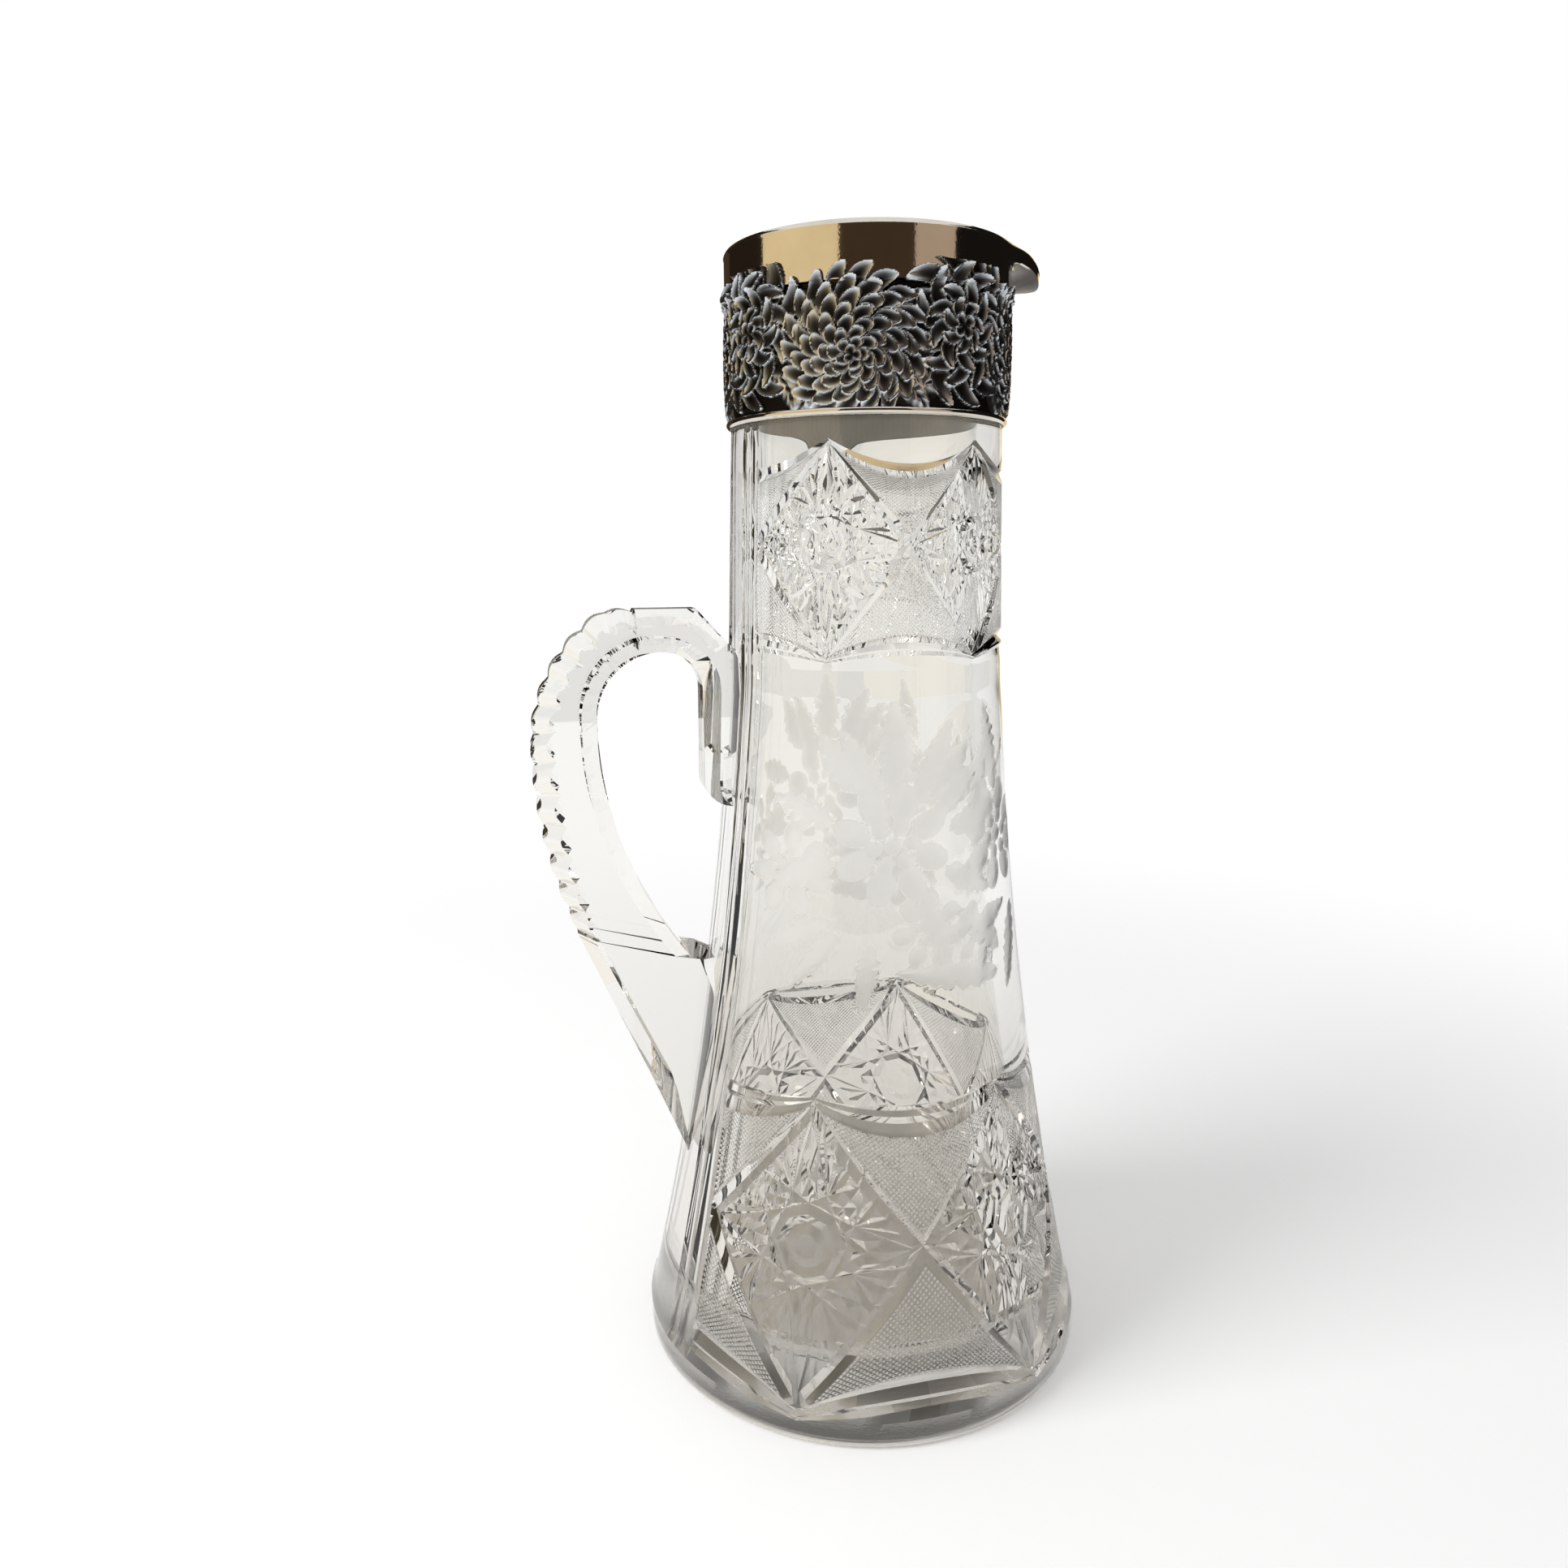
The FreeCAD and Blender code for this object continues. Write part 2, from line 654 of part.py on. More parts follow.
def pouring_lip():
    """Sheet trough over the mouth's edge that narrows to the lip's tip."""
    body = doc.addObject("PartDesign::Body", "pouring_lip")
    gauge = "sizes.silver_gauge"
    root_outline = lip_outline(*ROOT_SIZES, gauge)
    tip_top = "(sizes.total_height - sizes.lip_tip_drop)"
    tip_depth = "(sizes.lip_depth - sizes.lip_tip_drop)"
    tip_outline = lip_outline(
        "sizes.lip_tip_half_width", "sizes.lip_tip_floor_half_width", tip_top, tip_depth, gauge)
    root = offset_sketch(body, "lip_root", RIM_OUTER, root_outline)
    run = body.newObject("PartDesign::Pad", "lip_run")
    run.Profile = root
    run.Reversed = True
    run.setExpression("Length", RIM_OUTER)
    doc.recompute()
    start = offset_sketch(body, "lip_beak_start", RIM_OUTER, root_outline)
    tip = offset_sketch(body, "lip_tip", f"{RIM_OUTER} + sizes.lip_reach", tip_outline)
    beak = body.newObject("PartDesign::AdditiveLoft", "lip_beak")
    beak.Profile = start
    beak.Sections = [tip]
    beak.Ruled = True
    doc.recompute()
    mouth = new_sketch(body, "lip_mouth", "XY_Plane")
    circle = mouth.addGeometry(Part.Circle(Vector(0, 0, 0), Vector(0, 0, 1), worth(LINING_INNER)), False)
    mouth.addConstraint(Sketcher.Constraint("Coincident", circle, 3, -1, 1))
    bind(mouth, Sketcher.Constraint("Radius", circle, worth(LINING_INNER)), LINING_INNER)
    before = beak.Shape.Volume
    opening = body.newObject("PartDesign::Pocket", "lip_opening")
    opening.Profile = mouth
    opening.Reversed = True
    opening.setExpression("Length", "sizes.total_height + sizes.overrun")
    doc.recompute()
    if not opening.Shape.Volume < before:
        raise RuntimeError("the mouth does not cut the lip")
    return body


def blade(turn, level, start, finish, width, rise, ground):
    """Petal or leaf between two flat points about a place on the collar.

    It is a ridge with four slopes over the ground, whose height a function of the flat point gives,
    and is pointed below, where it sinks into the band.
    """
    wall = worth(BAND_OUTER)

    def laid(point, lift):
        """Flat point laid on the collar and lifted off the ground."""
        radius = wall + ground(point) + lift
        angle = math.radians(turn) + point.x / wall
        return Vector(radius * math.cos(angle), radius * math.sin(angle), level + point.y)

    along = finish - start
    aside = Vector(-along.y, along.x, 0).normalize() * width / 2
    widest = start + along * WIDEST_SHARE
    sink = size("blade_sink")
    ring = [laid(point, -sink / 2) for point in (start, widest + aside, finish, widest - aside)]
    return faceted_solid(peaked(ring, laid(widest, rise)) + peaked(ring, laid(widest, -2 * sink)))


def flower_petals(turn, level, radius, count):
    """Two rings of petals over a domed flower head, inner and outer ones in turn."""
    rise, sink = size("head_rise"), size("head_sink")

    def dome(point):
        """Height of the head over the band's ground."""
        share = min(point.Length / radius, 1)
        return max(0, (rise + sink) * math.sqrt(1 - share ** 2) - sink)

    petals = []
    for index in range(2 * count):
        start_share, end_share = PETAL_RING_SHARES[index % 2]
        angle = math.pi * index / count
        way = Vector(math.cos(angle), math.sin(angle), 0)
        width = size("petal_width") * end_share
        petals.append(blade(turn, level, way * radius * start_share, way * radius * end_share,
                            width, size("petal_rise"), dome))
    return petals


def collar_band():
    """Neck band with chased flowers, large and small in turn, and leaves between them."""
    band = turned("collar_blank", [
        (BAND_INNER, COLLAR_FOOT),
        (BAND_OUTER, COLLAR_FOOT),
        (BAND_OUTER, RIM_FOOT),
        (BAND_INNER, RIM_FOOT),
    ])
    heads = []
    layers = {}
    pairs = round(size("head_pairs"))
    height = worth(f"{RIM_FOOT} - {COLLAR_FOOT}")
    for index in range(2 * pairs):
        kind = "small" if index % 2 else "large"
        turn = size("head_turn") + 180 / pairs * index
        sunk = f"({BAND_OUTER} - sizes.head_sink)"
        middle = f"({RIM_FOOT} - sizes.{kind}_head_margin)"
        head = doc.addObject("Part::Ellipsoid", f"flower_head_{index + 1}")
        head.setExpression("Radius1", f"sizes.{kind}_head_radius")
        head.setExpression("Radius2", "sizes.head_sink + sizes.head_rise")
        head.setExpression("Radius3", f"sizes.{kind}_head_radius")
        head.setExpression("Placement.Base.x", f"{sunk} * cos({turn} deg)")
        head.setExpression("Placement.Base.y", f"{sunk} * sin({turn} deg)")
        head.setExpression("Placement.Base.z", middle)
        head.Placement.Rotation = Rotation(Vector(0, 0, 1), turn)
        heads.append(head)
        count = round(size(f"{kind}_head_petals"))
        petals = flower_petals(turn, worth(middle), size(f"{kind}_head_radius"), count)
        for number, petal in enumerate(petals):
            layers.setdefault((kind, number % 4), []).append(petal)
        if kind == "large":
            for turn_share, level_share, lean in LEAF_SHARES:
                way = Vector(math.cos(math.radians(lean)), math.sin(math.radians(lean)), 0)
                level = worth(COLLAR_FOOT) + height * level_share
                leaf = blade(
                    turn + 360 / pairs * turn_share, level, Vector(), way * size("leaf_length"),
                    size("leaf_width"), size("leaf_rise"), lambda point: 0)
                layers.setdefault(("leaf", lean), []).append(leaf)
    raised = doc.addObject("Part::MultiFuse", "raised_band")
    raised.Shapes = [band] + heads
    spaces = []
    rim_space = ("rim_space", "sizes.foot_radius", RIM_FOOT)
    for name, radius, foot in (("collar_core", BAND_INNER, "0"), rim_space):
        space = doc.addObject("Part::Cylinder", name)
        space.setExpression("Radius", radius)
        space.setExpression("Height", "sizes.total_height")
        space.setExpression("Placement.Base.z", foot)
        spaces.append(space)
    doc.recompute()
    shape = raised.Shape
    for layer in layers.values():
        shape = shape.fuse(layer)
    collar = doc.addObject("Part::Feature", "collar_band")
    collar.Shape = shape.cut([space.Shape for space in spaces])
    return collar


def half_round_ring(name, radius, foot):
    """Half-round wire ring: flat against a wall of the given radius, bulging outwards."""
    crown = f"{radius} + sizes.wire_bulge"
    edge = "sizes.wire_bulge / 2"
    return turned(name, [
        (radius, foot),
        (f"{radius} + {edge}", foot),
        (crown, f"{foot} + {edge}"),
        (crown, f"{foot} + sizes.wire_height - {edge}"),
        (f"{radius} + {edge}", f"{foot} + sizes.wire_height"),
        (radius, f"{foot} + sizes.wire_height"),
    ])


def mouth_rings(notch):
    """Rim, mouth plate, lining, plaster and rim wire, each opened for the lip."""
    step_top = f"{RIM_FOOT} + sizes.rim_step_height"
    blanks = {
        "rim_band": turned("rim_blank", [
            (BAND_INNER, RIM_FOOT),
            (BAND_OUTER, RIM_FOOT),
            (RIM_OUTER, step_top),
            (RIM_OUTER, PLATE_FOOT),
            (RIM_INNER, PLATE_FOOT),
            (RIM_INNER, step_top),
        ]),
        "mouth_plate": turned("plate_blank", [
            (LINING_INNER, PLATE_FOOT),
            (RIM_OUTER, PLATE_FOOT),
            (RIM_OUTER, "sizes.total_height"),
            (LINING_INNER, "sizes.total_height"),
        ]),
        "collar_lining": turned("lining_blank", [
            (LINING_INNER, "sizes.total_height - sizes.lining_depth"),
            (LINING_OUTER, "sizes.total_height - sizes.lining_depth"),
            (LINING_OUTER, PLATE_FOOT),
            (LINING_INNER, PLATE_FOOT),
        ]),
        "plaster_bed": turned("plaster_blank", [
            (SEAT_RADIUS, COLLAR_FOOT),
            (BAND_INNER, COLLAR_FOOT),
            (BAND_INNER, RIM_FOOT),
            (RIM_INNER, step_top),
            (RIM_INNER, PLATE_FOOT),
            (LINING_OUTER, PLATE_FOOT),
            (LINING_OUTER, GLASS_TOP),
            (f"{SEAT_RADIUS} - sizes.edge_bevel", GLASS_TOP),
            (SEAT_RADIUS, f"{GLASS_TOP} - sizes.edge_bevel"),
        ]),
        "rim_wire": half_round_ring("rim_wire_blank", RIM_OUTER, "(sizes.total_height - sizes.wire_height)"),
    }
    return {name: cut(name, blank, notch) for name, blank in blanks.items()}


# All pieces, each under the name of its own file
pieces = {"glass_body": glass_body(), "glass_handle": glass_handle(), "collar_band": collar_band()}
pieces["foot_wire"] = half_round_ring("foot_wire", BAND_OUTER, COLLAR_FOOT)
pieces["pouring_lip"] = pouring_lip()
pieces.update(mouth_rings(lip_notch()))
doc.recompute()

for item in doc.Objects:
    if "Invalid" in item.State or "Error" in item.State:
        raise RuntimeError(f"{item.Label} failed: {item.State}")
for name, piece in pieces.items():
    piece.Label = name
    if piece.Shape.isNull() or not piece.Shape.isValid():
        raise RuntimeError(f"{name} has no valid shape")

os.makedirs("parts", exist_ok=True)
for name, piece in pieces.items():
    piece.Shape.exportStep(f"parts/{name}.step")
    box = piece.Shape.optimalBoundingBox()
    print(name, len(piece.Shape.Solids), round(piece.Shape.Volume, 1),
          [round(v, 2) for v in (box.XMin, box.YMin, box.ZMin, box.XMax, box.YMax, box.ZMax)])
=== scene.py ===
"""Looks of a silver-mounted cut-glass claret jug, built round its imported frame.

Sizes are in millimetres and turns in degrees about the jug's axis. Turn 0 is the pouring
lip and turn 180 the handle. Meshes are written in metres.
"""

from __future__ import annotations

import logging
import math
from dataclasses import dataclass
from enum import Enum
from typing import Any, Sequence

import bmesh
import bpy
import numpy as np
from mathutils import Matrix

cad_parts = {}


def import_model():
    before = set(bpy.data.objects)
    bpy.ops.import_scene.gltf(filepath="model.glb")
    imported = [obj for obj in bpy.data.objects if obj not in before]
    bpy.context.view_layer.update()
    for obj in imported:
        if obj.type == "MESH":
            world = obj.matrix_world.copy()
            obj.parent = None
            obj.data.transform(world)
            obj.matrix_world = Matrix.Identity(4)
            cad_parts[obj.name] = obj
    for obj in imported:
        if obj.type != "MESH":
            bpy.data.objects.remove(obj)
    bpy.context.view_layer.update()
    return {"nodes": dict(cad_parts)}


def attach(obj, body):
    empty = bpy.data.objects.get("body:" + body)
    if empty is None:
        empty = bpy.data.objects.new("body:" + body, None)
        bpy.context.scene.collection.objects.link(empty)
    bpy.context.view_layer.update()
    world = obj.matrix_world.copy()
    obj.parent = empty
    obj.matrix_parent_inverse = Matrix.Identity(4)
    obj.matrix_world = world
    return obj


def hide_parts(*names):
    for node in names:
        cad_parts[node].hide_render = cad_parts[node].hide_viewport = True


LOG = logging.getLogger("claret_jug")
MM = 0.001
WELD = 1e-3
# The frost layer holds the distance into an engraved shape, above 0 inside it, or one of these:
# plain polished glass, a line of the hatching (which the glass finish darkens as painted shade), a
# frosted point of the hatching, the under side.
CLEAR, SHADED_GROOVE, PIP, GROUND = -2.0, -6.0, 8.0, -0.01
WHITE = (1.0, 1.0, 1.0)
CLOUD_DETAIL, GRAIN_DETAIL = 4.0, 2.0
BODY = "root"


class Slot(Enum):
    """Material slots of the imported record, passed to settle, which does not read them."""

    GLASS = "cut_glass"
    SILVER = "silver"


def smooth(low: float, high: float, value: np.ndarray | float) -> np.ndarray:
    """Cubic ease from 0 at low to 1 at high."""
    share = np.clip((value - low) / (high - low), 0.0, 1.0)
    return share * share * (3.0 - 2.0 * share)


def saw(value: np.ndarray) -> np.ndarray:
    """Part of a value past the last whole number."""
    return value - np.floor(value)


def wrapped(turn: np.ndarray) -> np.ndarray:
    """Turn brought into the range from -180 to 180."""
    return (turn + 180.0) % 360.0 - 180.0


def on_axis(turn: np.ndarray, radius: np.ndarray | float, height: np.ndarray) -> np.ndarray:
    """Points at a turn, a radius and a height: (r cos t, r sin t, h).

    Args:
        turn: Turns in degrees.
        radius: Distances from the jug's axis.
        height: Heights.

    Returns:
        The places, one row each.
    """
    angle = np.radians(turn)
    parts = np.broadcast_arrays(radius * np.cos(angle), radius * np.sin(angle), height)
    return np.stack([part.ravel() for part in parts], axis=1)


def link(piece: bpy.types.Object) -> bpy.types.Object:
    """Put a new object into the scene."""
    bpy.context.scene.collection.objects.link(piece)
    return piece


def grid_triangles(rows: int, columns: int, ring: bool = False) -> np.ndarray:
    """Two triangles for each cell of a grid of points numbered row by row.

    Args:
        rows: Number of rows of points.
        columns: Number of points in a row.
        ring: Whether the last row joins the first.

    Returns:
        Point numbers, three for each triangle.
    """
    down = np.arange(rows if ring else rows - 1)
    row, column = np.meshgrid(down, np.arange(columns - 1), indexing="ij")
    first = (row * columns + column).ravel()
    below = ((row + 1) % rows * columns + column).ravel()
    near = np.stack([first, first + 1, below + 1], axis=1)
    far = np.stack([first, below + 1, below], axis=1)
    return np.concatenate([near, far])


class Skin:
    """Closed surface gathered from patches and welded where their edges meet."""

    def __init__(self, layer: str) -> None:
        """Start an empty skin.

        Args:
            layer: Name of the number that each point carries for its finish.
        """
        self.layer = layer
        self.points: list[np.ndarray] = []
        self.triangles: list[np.ndarray] = []
        self.values: list[np.ndarray] = []
        self.count = 0

    def add(self, points: np.ndarray, triangles: np.ndarray, values: np.ndarray | float) -> None:
        """Add one patch.

        Args:
            points: Places in millimetres, one row each.
            triangles: Point numbers within this patch.
            values: The layer's number at each point, or one number for all.
        """
        self.points.append(points)
        self.triangles.append(triangles + self.count)
        self.values.append(np.broadcast_to(values, len(points)).astype(float))
        self.count += len(points)

    def welded(self) -> tuple[np.ndarray, np.ndarray, np.ndarray]:
        """Points, triangles and values with meeting points made one and flat slivers dropped.

        Returns:
            Points, triangles and values.
        """
        points = np.concatenate(self.points)
        keys = np.round(points / WELD).astype(np.int64)
        _, first, number = np.unique(keys, axis=0, return_index=True, return_inverse=True)
        triangles = number.reshape(-1)[np.concatenate(self.triangles)]
        a, b, c = triangles.T
        triangles = triangles[(a != b) & (b != c) & (c != a)]
        return points[first], triangles, np.concatenate(self.values)[first]

    def to_object(self, name: str, material: bpy.types.Material, crease: float) -> bpy.types.Object:
        """Write the skin into a mesh object at the origin.

        Args:
            name: Name of the piece.
            material: Its finish.
            crease: Angle in degrees above which an edge shows as a sharp line.

        Returns:
            The new object, with its faces pointing outwards.
        """
        points, triangles, values = self.welded()
        mesh = bpy.data.meshes.new(name)
        mesh.vertices.add(len(points))
        mesh.vertices.foreach_set("co", (points * MM).ravel())
        mesh.loops.add(triangles.size)
        mesh.loops.foreach_set("vertex_index", triangles.ravel().astype(np.int32))
        mesh.polygons.add(len(triangles))
        mesh.polygons.foreach_set("loop_start", np.arange(0, triangles.size, 3, dtype=np.int32))
        mesh.update(calc_edges=True)
        work = bmesh.new()
        work.from_mesh(mesh)
        bmesh.ops.recalc_face_normals(work, faces=work.faces)
        work.to_mesh(mesh)
        work.free()
        mesh.polygons.foreach_set("use_smooth", np.ones(len(mesh.polygons), dtype=bool))
        mesh.set_sharp_from_angle(angle=math.radians(crease))
        layer = mesh.attributes.new(self.layer, "FLOAT", "POINT")
        layer.data.foreach_set("value", values.astype(np.float32))
        mesh.materials.append(material)
        LOG.info("%s: %d triangles", name, len(triangles))
        return link(bpy.data.objects.new(name, mesh))


def settle(piece: bpy.types.Object, slot: Slot, *nodes: str) -> None:
    """Let a piece stand for CAD nodes: hang it on the jug's body and hide those nodes.

    Args:
        piece: The new piece.
        slot: Slot of the record; not used.
        nodes: CAD nodes that it stands for.
    """
    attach(piece, BODY)
    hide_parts(*nodes)


class Signal:
    """Output of a shader node that takes part in Python arithmetic."""

    def __init__(self, board: Board, socket: bpy.types.NodeSocket) -> None:
        """Wrap one output socket of a board's node."""
        self.board = board
        self.socket = socket

    def __add__(self, other: Signal | float) -> Signal:
        """Sum of two values."""
        return self.board.maths("ADD", self, other)

    __radd__ = __add__

    def __sub__(self, other: Signal | float) -> Signal:
        """This value less another."""
        return self.board.maths("SUBTRACT", self, other)

    def __rsub__(self, other: float) -> Signal:
        """A number less this value."""
        return self.board.maths("SUBTRACT", other, self)

    def __mul__(self, other: Signal | float) -> Signal:
        """Product of two values."""
        return self.board.maths("MULTIPLY", self, other)

    __rmul__ = __mul__

    def __truediv__(self, other: Signal | float) -> Signal:
        """This value divided by another."""
        return self.board.maths("DIVIDE", self, other)

    def between(self, low: float, high: float) -> Signal:
        """Smooth step from 0 at low to 1 at high.

        Args:
            low: Value that gives 0.
            high: Value that gives 1.

        Returns:
            The step.
        """
        settings = {"interpolation_type": "SMOOTHSTEP"}
        inputs = {"Value": self, "From Min": low, "From Max": high}
        return self.board.make("ShaderNodeMapRange", settings, inputs)["Result"]


class Outputs:
    """Outputs of one node, by name, as signals."""

    def __init__(self, board: Board, node: bpy.types.Node) -> None:
        """Remember the node and its board."""
        self.board = board
        self.node = node

    def __getitem__(self, name: str) -> Signal:
        """Output of that name that is in use."""
        socket = next(item for item in self.node.outputs if item.name == name and item.enabled)
        return Signal(self.board, socket)


class Board:
    """Node tree of one material or of the world."""

    def __init__(self, tree: bpy.types.NodeTree) -> None:
        """Empty the tree so that it holds only what is made here."""
        self.tree = tree
        tree.nodes.clear()

    def make(self, kind: str, settings: dict[str, Any] | None = None,
             inputs: dict[str | int, Any] | None = None) -> Outputs:
        """Make a node.

        Args:
            kind: Blender's name for the node type.
            settings: Node properties, set first; "stops" fills a colour ramp.
            inputs: Values or signals, by socket name or number.

        Returns:
            The node's outputs.
        """
        node = self.tree.nodes.new(kind)
        for name, value in (settings or {}).items():
            if name == "stops":
                self.fill_ramp(node.color_ramp, value)
            else:
                setattr(node, name, value)
        for name, value in (inputs or {}).items():
            if isinstance(name, int):
                socket = node.inputs[name]
            else:
                socket = next(item for item in node.inputs if item.name == name and item.enabled)
            if isinstance(value, Signal):
                self.tree.links.new(value.socket, socket)
            else:
                socket.default_value = value
        return Outputs(self, node)

    @staticmethod
    def fill_ramp(ramp: bpy.types.ColorRamp, stops: Sequence[tuple[float, Sequence[float]]]) -> None:
        """Put stops of (place, colour) into a colour ramp.

        Args:
            ramp: The node's colour ramp.
            stops: Place and colour of each stop, in order.
        """
        for place, colour in stops[2:]:
            ramp.elements.new(place)
        for element, (place, colour) in zip(ramp.elements, stops):
            element.position = place
            element.color = (*colour, 1.0)

    def maths(self, operation: str, *values: Signal | float) -> Signal:
        """Math node of an operation on values."""
        return self.make("ShaderNodeMath", {"operation": operation}, dict(enumerate(values)))["Value"]

    def mixed(self, share: Signal | float, first: Any, second: Any) -> Signal:
        """Colour that goes from the first to the second as the share goes from 0 to 1."""
        inputs = {0: share, 6: first, 7: second}
        return self.make("ShaderNodeMix", {"data_type": "RGBA"}, inputs)["Result"]

    def noise(self, place: Signal, scale: float, detail: float = 3.0) -> Signal:
        """Soft three-dimensional noise between 0 and 1, in cells for each metre."""
        inputs = {"Vector": place, "Scale": scale, "Detail": detail}
        return self.make("ShaderNodeTexNoise", None, inputs)["Fac"]

    def principled(self, inputs: dict[str, Any]) -> Signal:
        """Principled shader with those inputs."""
        return self.make("ShaderNodeBsdfPrincipled", None, inputs)["BSDF"]

    def glow(self, colour: Any, strength: Signal | float) -> Signal:
        """Shader that gives out a colour."""
        inputs = {"Color": colour, "Strength": strength}
        return self.make("ShaderNodeEmission", None, inputs)["Emission"]

    def blended(self, share: Signal, first: Signal, second: Signal) -> Signal:
        """Shader that goes from the first to the second as the share goes from 0 to 1."""
        return self.make("ShaderNodeMixShader", None, {0: share, 1: first, 2: second})["Shader"]

    def surface(self, shader: Signal) -> None:
        """Make a shader the material's surface."""
        self.make("ShaderNodeOutputMaterial", None, {"Surface": shader})

    def place(self) -> Signal:
        """Object coordinates, which are metres in the jug's frame."""
        return self.make("ShaderNodeTexCoord")["Object"]

    def layer(self, name: str) -> Signal:
        """Number that the mesh carries under a name."""
        return self.make("ShaderNodeAttribute", {"attribute_name": name})["Fac"]

    def bump(self, height: Signal, distance: float, strength: float) -> Signal:
        """Normal tilted by a height."""
        inputs = {"Height": height, "Distance": distance, "Strength": strength}
        return self.make("ShaderNodeBump", None, inputs)["Normal"]


Colour = tuple[float, float, float]


def opaque(colour: Colour) -> tuple[float, float, float, float]:
    """Colour with full alpha."""
    return (*colour, 1.0)


def new_board(name: str) -> tuple[bpy.types.Material, Board]:
    """Material of a name, with an empty board.

    Args:
        name: Name of the material.

    Returns:
        The material and its board.
    """
    material = bpy.data.materials.new(name)
    material.use_nodes = True
    return material, Board(material.node_tree)


@dataclass(frozen=True)
class GlassFinish:
    """Polished lead glass, frosted where the engraver's wheel has been."""

    name: str
    clear: Colour = (0.93, 0.925, 0.90)
    deep: Colour = (0.80, 0.775, 0.735)
    deep_height: float = 0.02
    clear_height: float = 0.17
    frosted: Colour = (0.95, 0.94, 0.91)
    # painted shade: dark tint mixed into the glass along the hatching's cut lines
    groove: Colour = (0.42, 0.39, 0.35)
    groove_share: float = 0.75
    groove_shade_edge: tuple[float, float] = (4.0, 6.0)
    frost_edge: float = 0.12
    frost_tint: float = 0.8
    frost_roughness: float = 0.35
    frost_share: float = 0.1
    heart_share: float = 0.14
    heart_depth: float = 2.6
    grain_scale: float = 900.0
    grain_roughness: float = 0.1
    grain_depth: float = 0.0002
    grain_strength: float = 0.35
    matt: Colour = (0.80, 0.79, 0.76)
    matt_roughness: float = 0.7
    polish: float = 0.012
    index: float = 1.53

    def material(self, frost_layer: str) -> bpy.types.Material:
        """Glass that deepens towards the thick foot and is rough where the frost layer is above 0;
        where the layer is far below 0, on the hatching's lines, it is darkened as painted shade.

        Args:
            frost_layer: Name of the layer that gives the distance into an engraved shape, the
                points of the hatching far above 0 and its lines far below 0.

        Returns:
            The material.
        """
        material, board = new_board(self.name)
        place = board.place()
        height = board.make("ShaderNodeSeparateXYZ", None, {"Vector": place})["Z"]
        wheel = board.layer(frost_layer)
        frost = wheel.between(-self.frost_edge, self.frost_edge)
        # mask of painted shade: 1 along the hatching's cut lines, where the frost layer is far below
        # 0
        groove = (-1.0 * wheel).between(*self.groove_shade_edge)
        grain = board.noise(place, self.grain_scale)
        thin = height.between(self.deep_height, self.clear_height)
        plain = board.mixed(thin, opaque(self.deep), opaque(self.clear))
        # painted shade: the plain glass is mixed towards the dark groove tint along the hatching's
        # lines
        body = board.mixed(groove * self.groove_share, plain, opaque(self.groove))
        shader = board.principled({
            "Base Color": board.mixed(frost * self.frost_tint, body, opaque(self.frosted)),
            "Roughness": frost * (self.frost_roughness + self.grain_roughness * grain) + self.polish,
            "IOR": self.index,
            "Transmission Weight": 1.0,
            "Normal": board.bump(frost * grain, self.grain_depth, self.grain_strength),
        })
        matt = board.principled({"Base Color": opaque(self.matt), "Roughness": self.matt_roughness})
        within = wheel.between(0.0, self.heart_depth)
        share = frost * (self.frost_share + self.heart_share * within)
        board.surface(board.blended(share, shader, matt))
        return material


@dataclass(frozen=True)
class SilverFinish:
    """Silver, polished on its heights and blackened in its hollows, and darkened as painted shade
    where a plain sheet's layer is set low.
    """

    name: str
    bright: Colour = (0.74, 0.70, 0.62)
    # tarnish and painted shade: the dark colour of the hollows, also used for painted shade under the
    # rim's lip
    tarnish_and_shade: Colour = (0.16, 0.13, 0.10)
    black: Colour = (0.012, 0.010, 0.009)
    polish: float = 0.09
    dull: float = 0.42
    hollow: float = 0.15
    height: float = 1.1
    cloud_scale: float = 140.0
    cloud_lift: float = 0.35
    cloud_tint: float = 0.25
    cloud_roughness: float = 0.05
    sunk: float = 0.15
    scratch_scale: float = 1600.0
    scratch_depth: float = 0.00004
    scratch_strength: float = 0.25

    def material(self, relief_layer: str) -> bpy.types.Material:
        """Metal whose colour and polish follow its relief.

        Args:
            relief_layer: Name of the layer that gives the tone: high where the silver is polished,
                low where it has gone dark, and low under the rim's lip as painted shade.

        Returns:
            The material.
        """
        material, board = new_board(self.name)
        place = board.place()
        relief = board.layer(relief_layer)
        cloud = board.noise(place, self.cloud_scale, CLOUD_DETAIL)
        scratch = board.noise(place, self.scratch_scale, GRAIN_DETAIL)
        tone = relief + self.cloud_lift * cloud - self.sunk
        raised = tone.between(self.hollow, self.height)
        # dark mix of tarnish in hollows and, under the rim's lip, painted shade
        aged_and_shaded = board.mixed(raised, opaque(self.black), opaque(self.tarnish_and_shade))
        rubbed = raised * raised * (1.0 - self.cloud_tint * cloud)
        wear = self.dull - raised * (self.dull - self.polish)
        board.surface(board.principled({
            "Base Color": board.mixed(rubbed, aged_and_shaded, opaque(self.bright)),
            "Metallic": 1.0,
            "Roughness": wear + self.cloud_roughness * cloud,
            "Normal": board.bump(scratch, self.scratch_depth, self.scratch_strength),
        }))
        return material


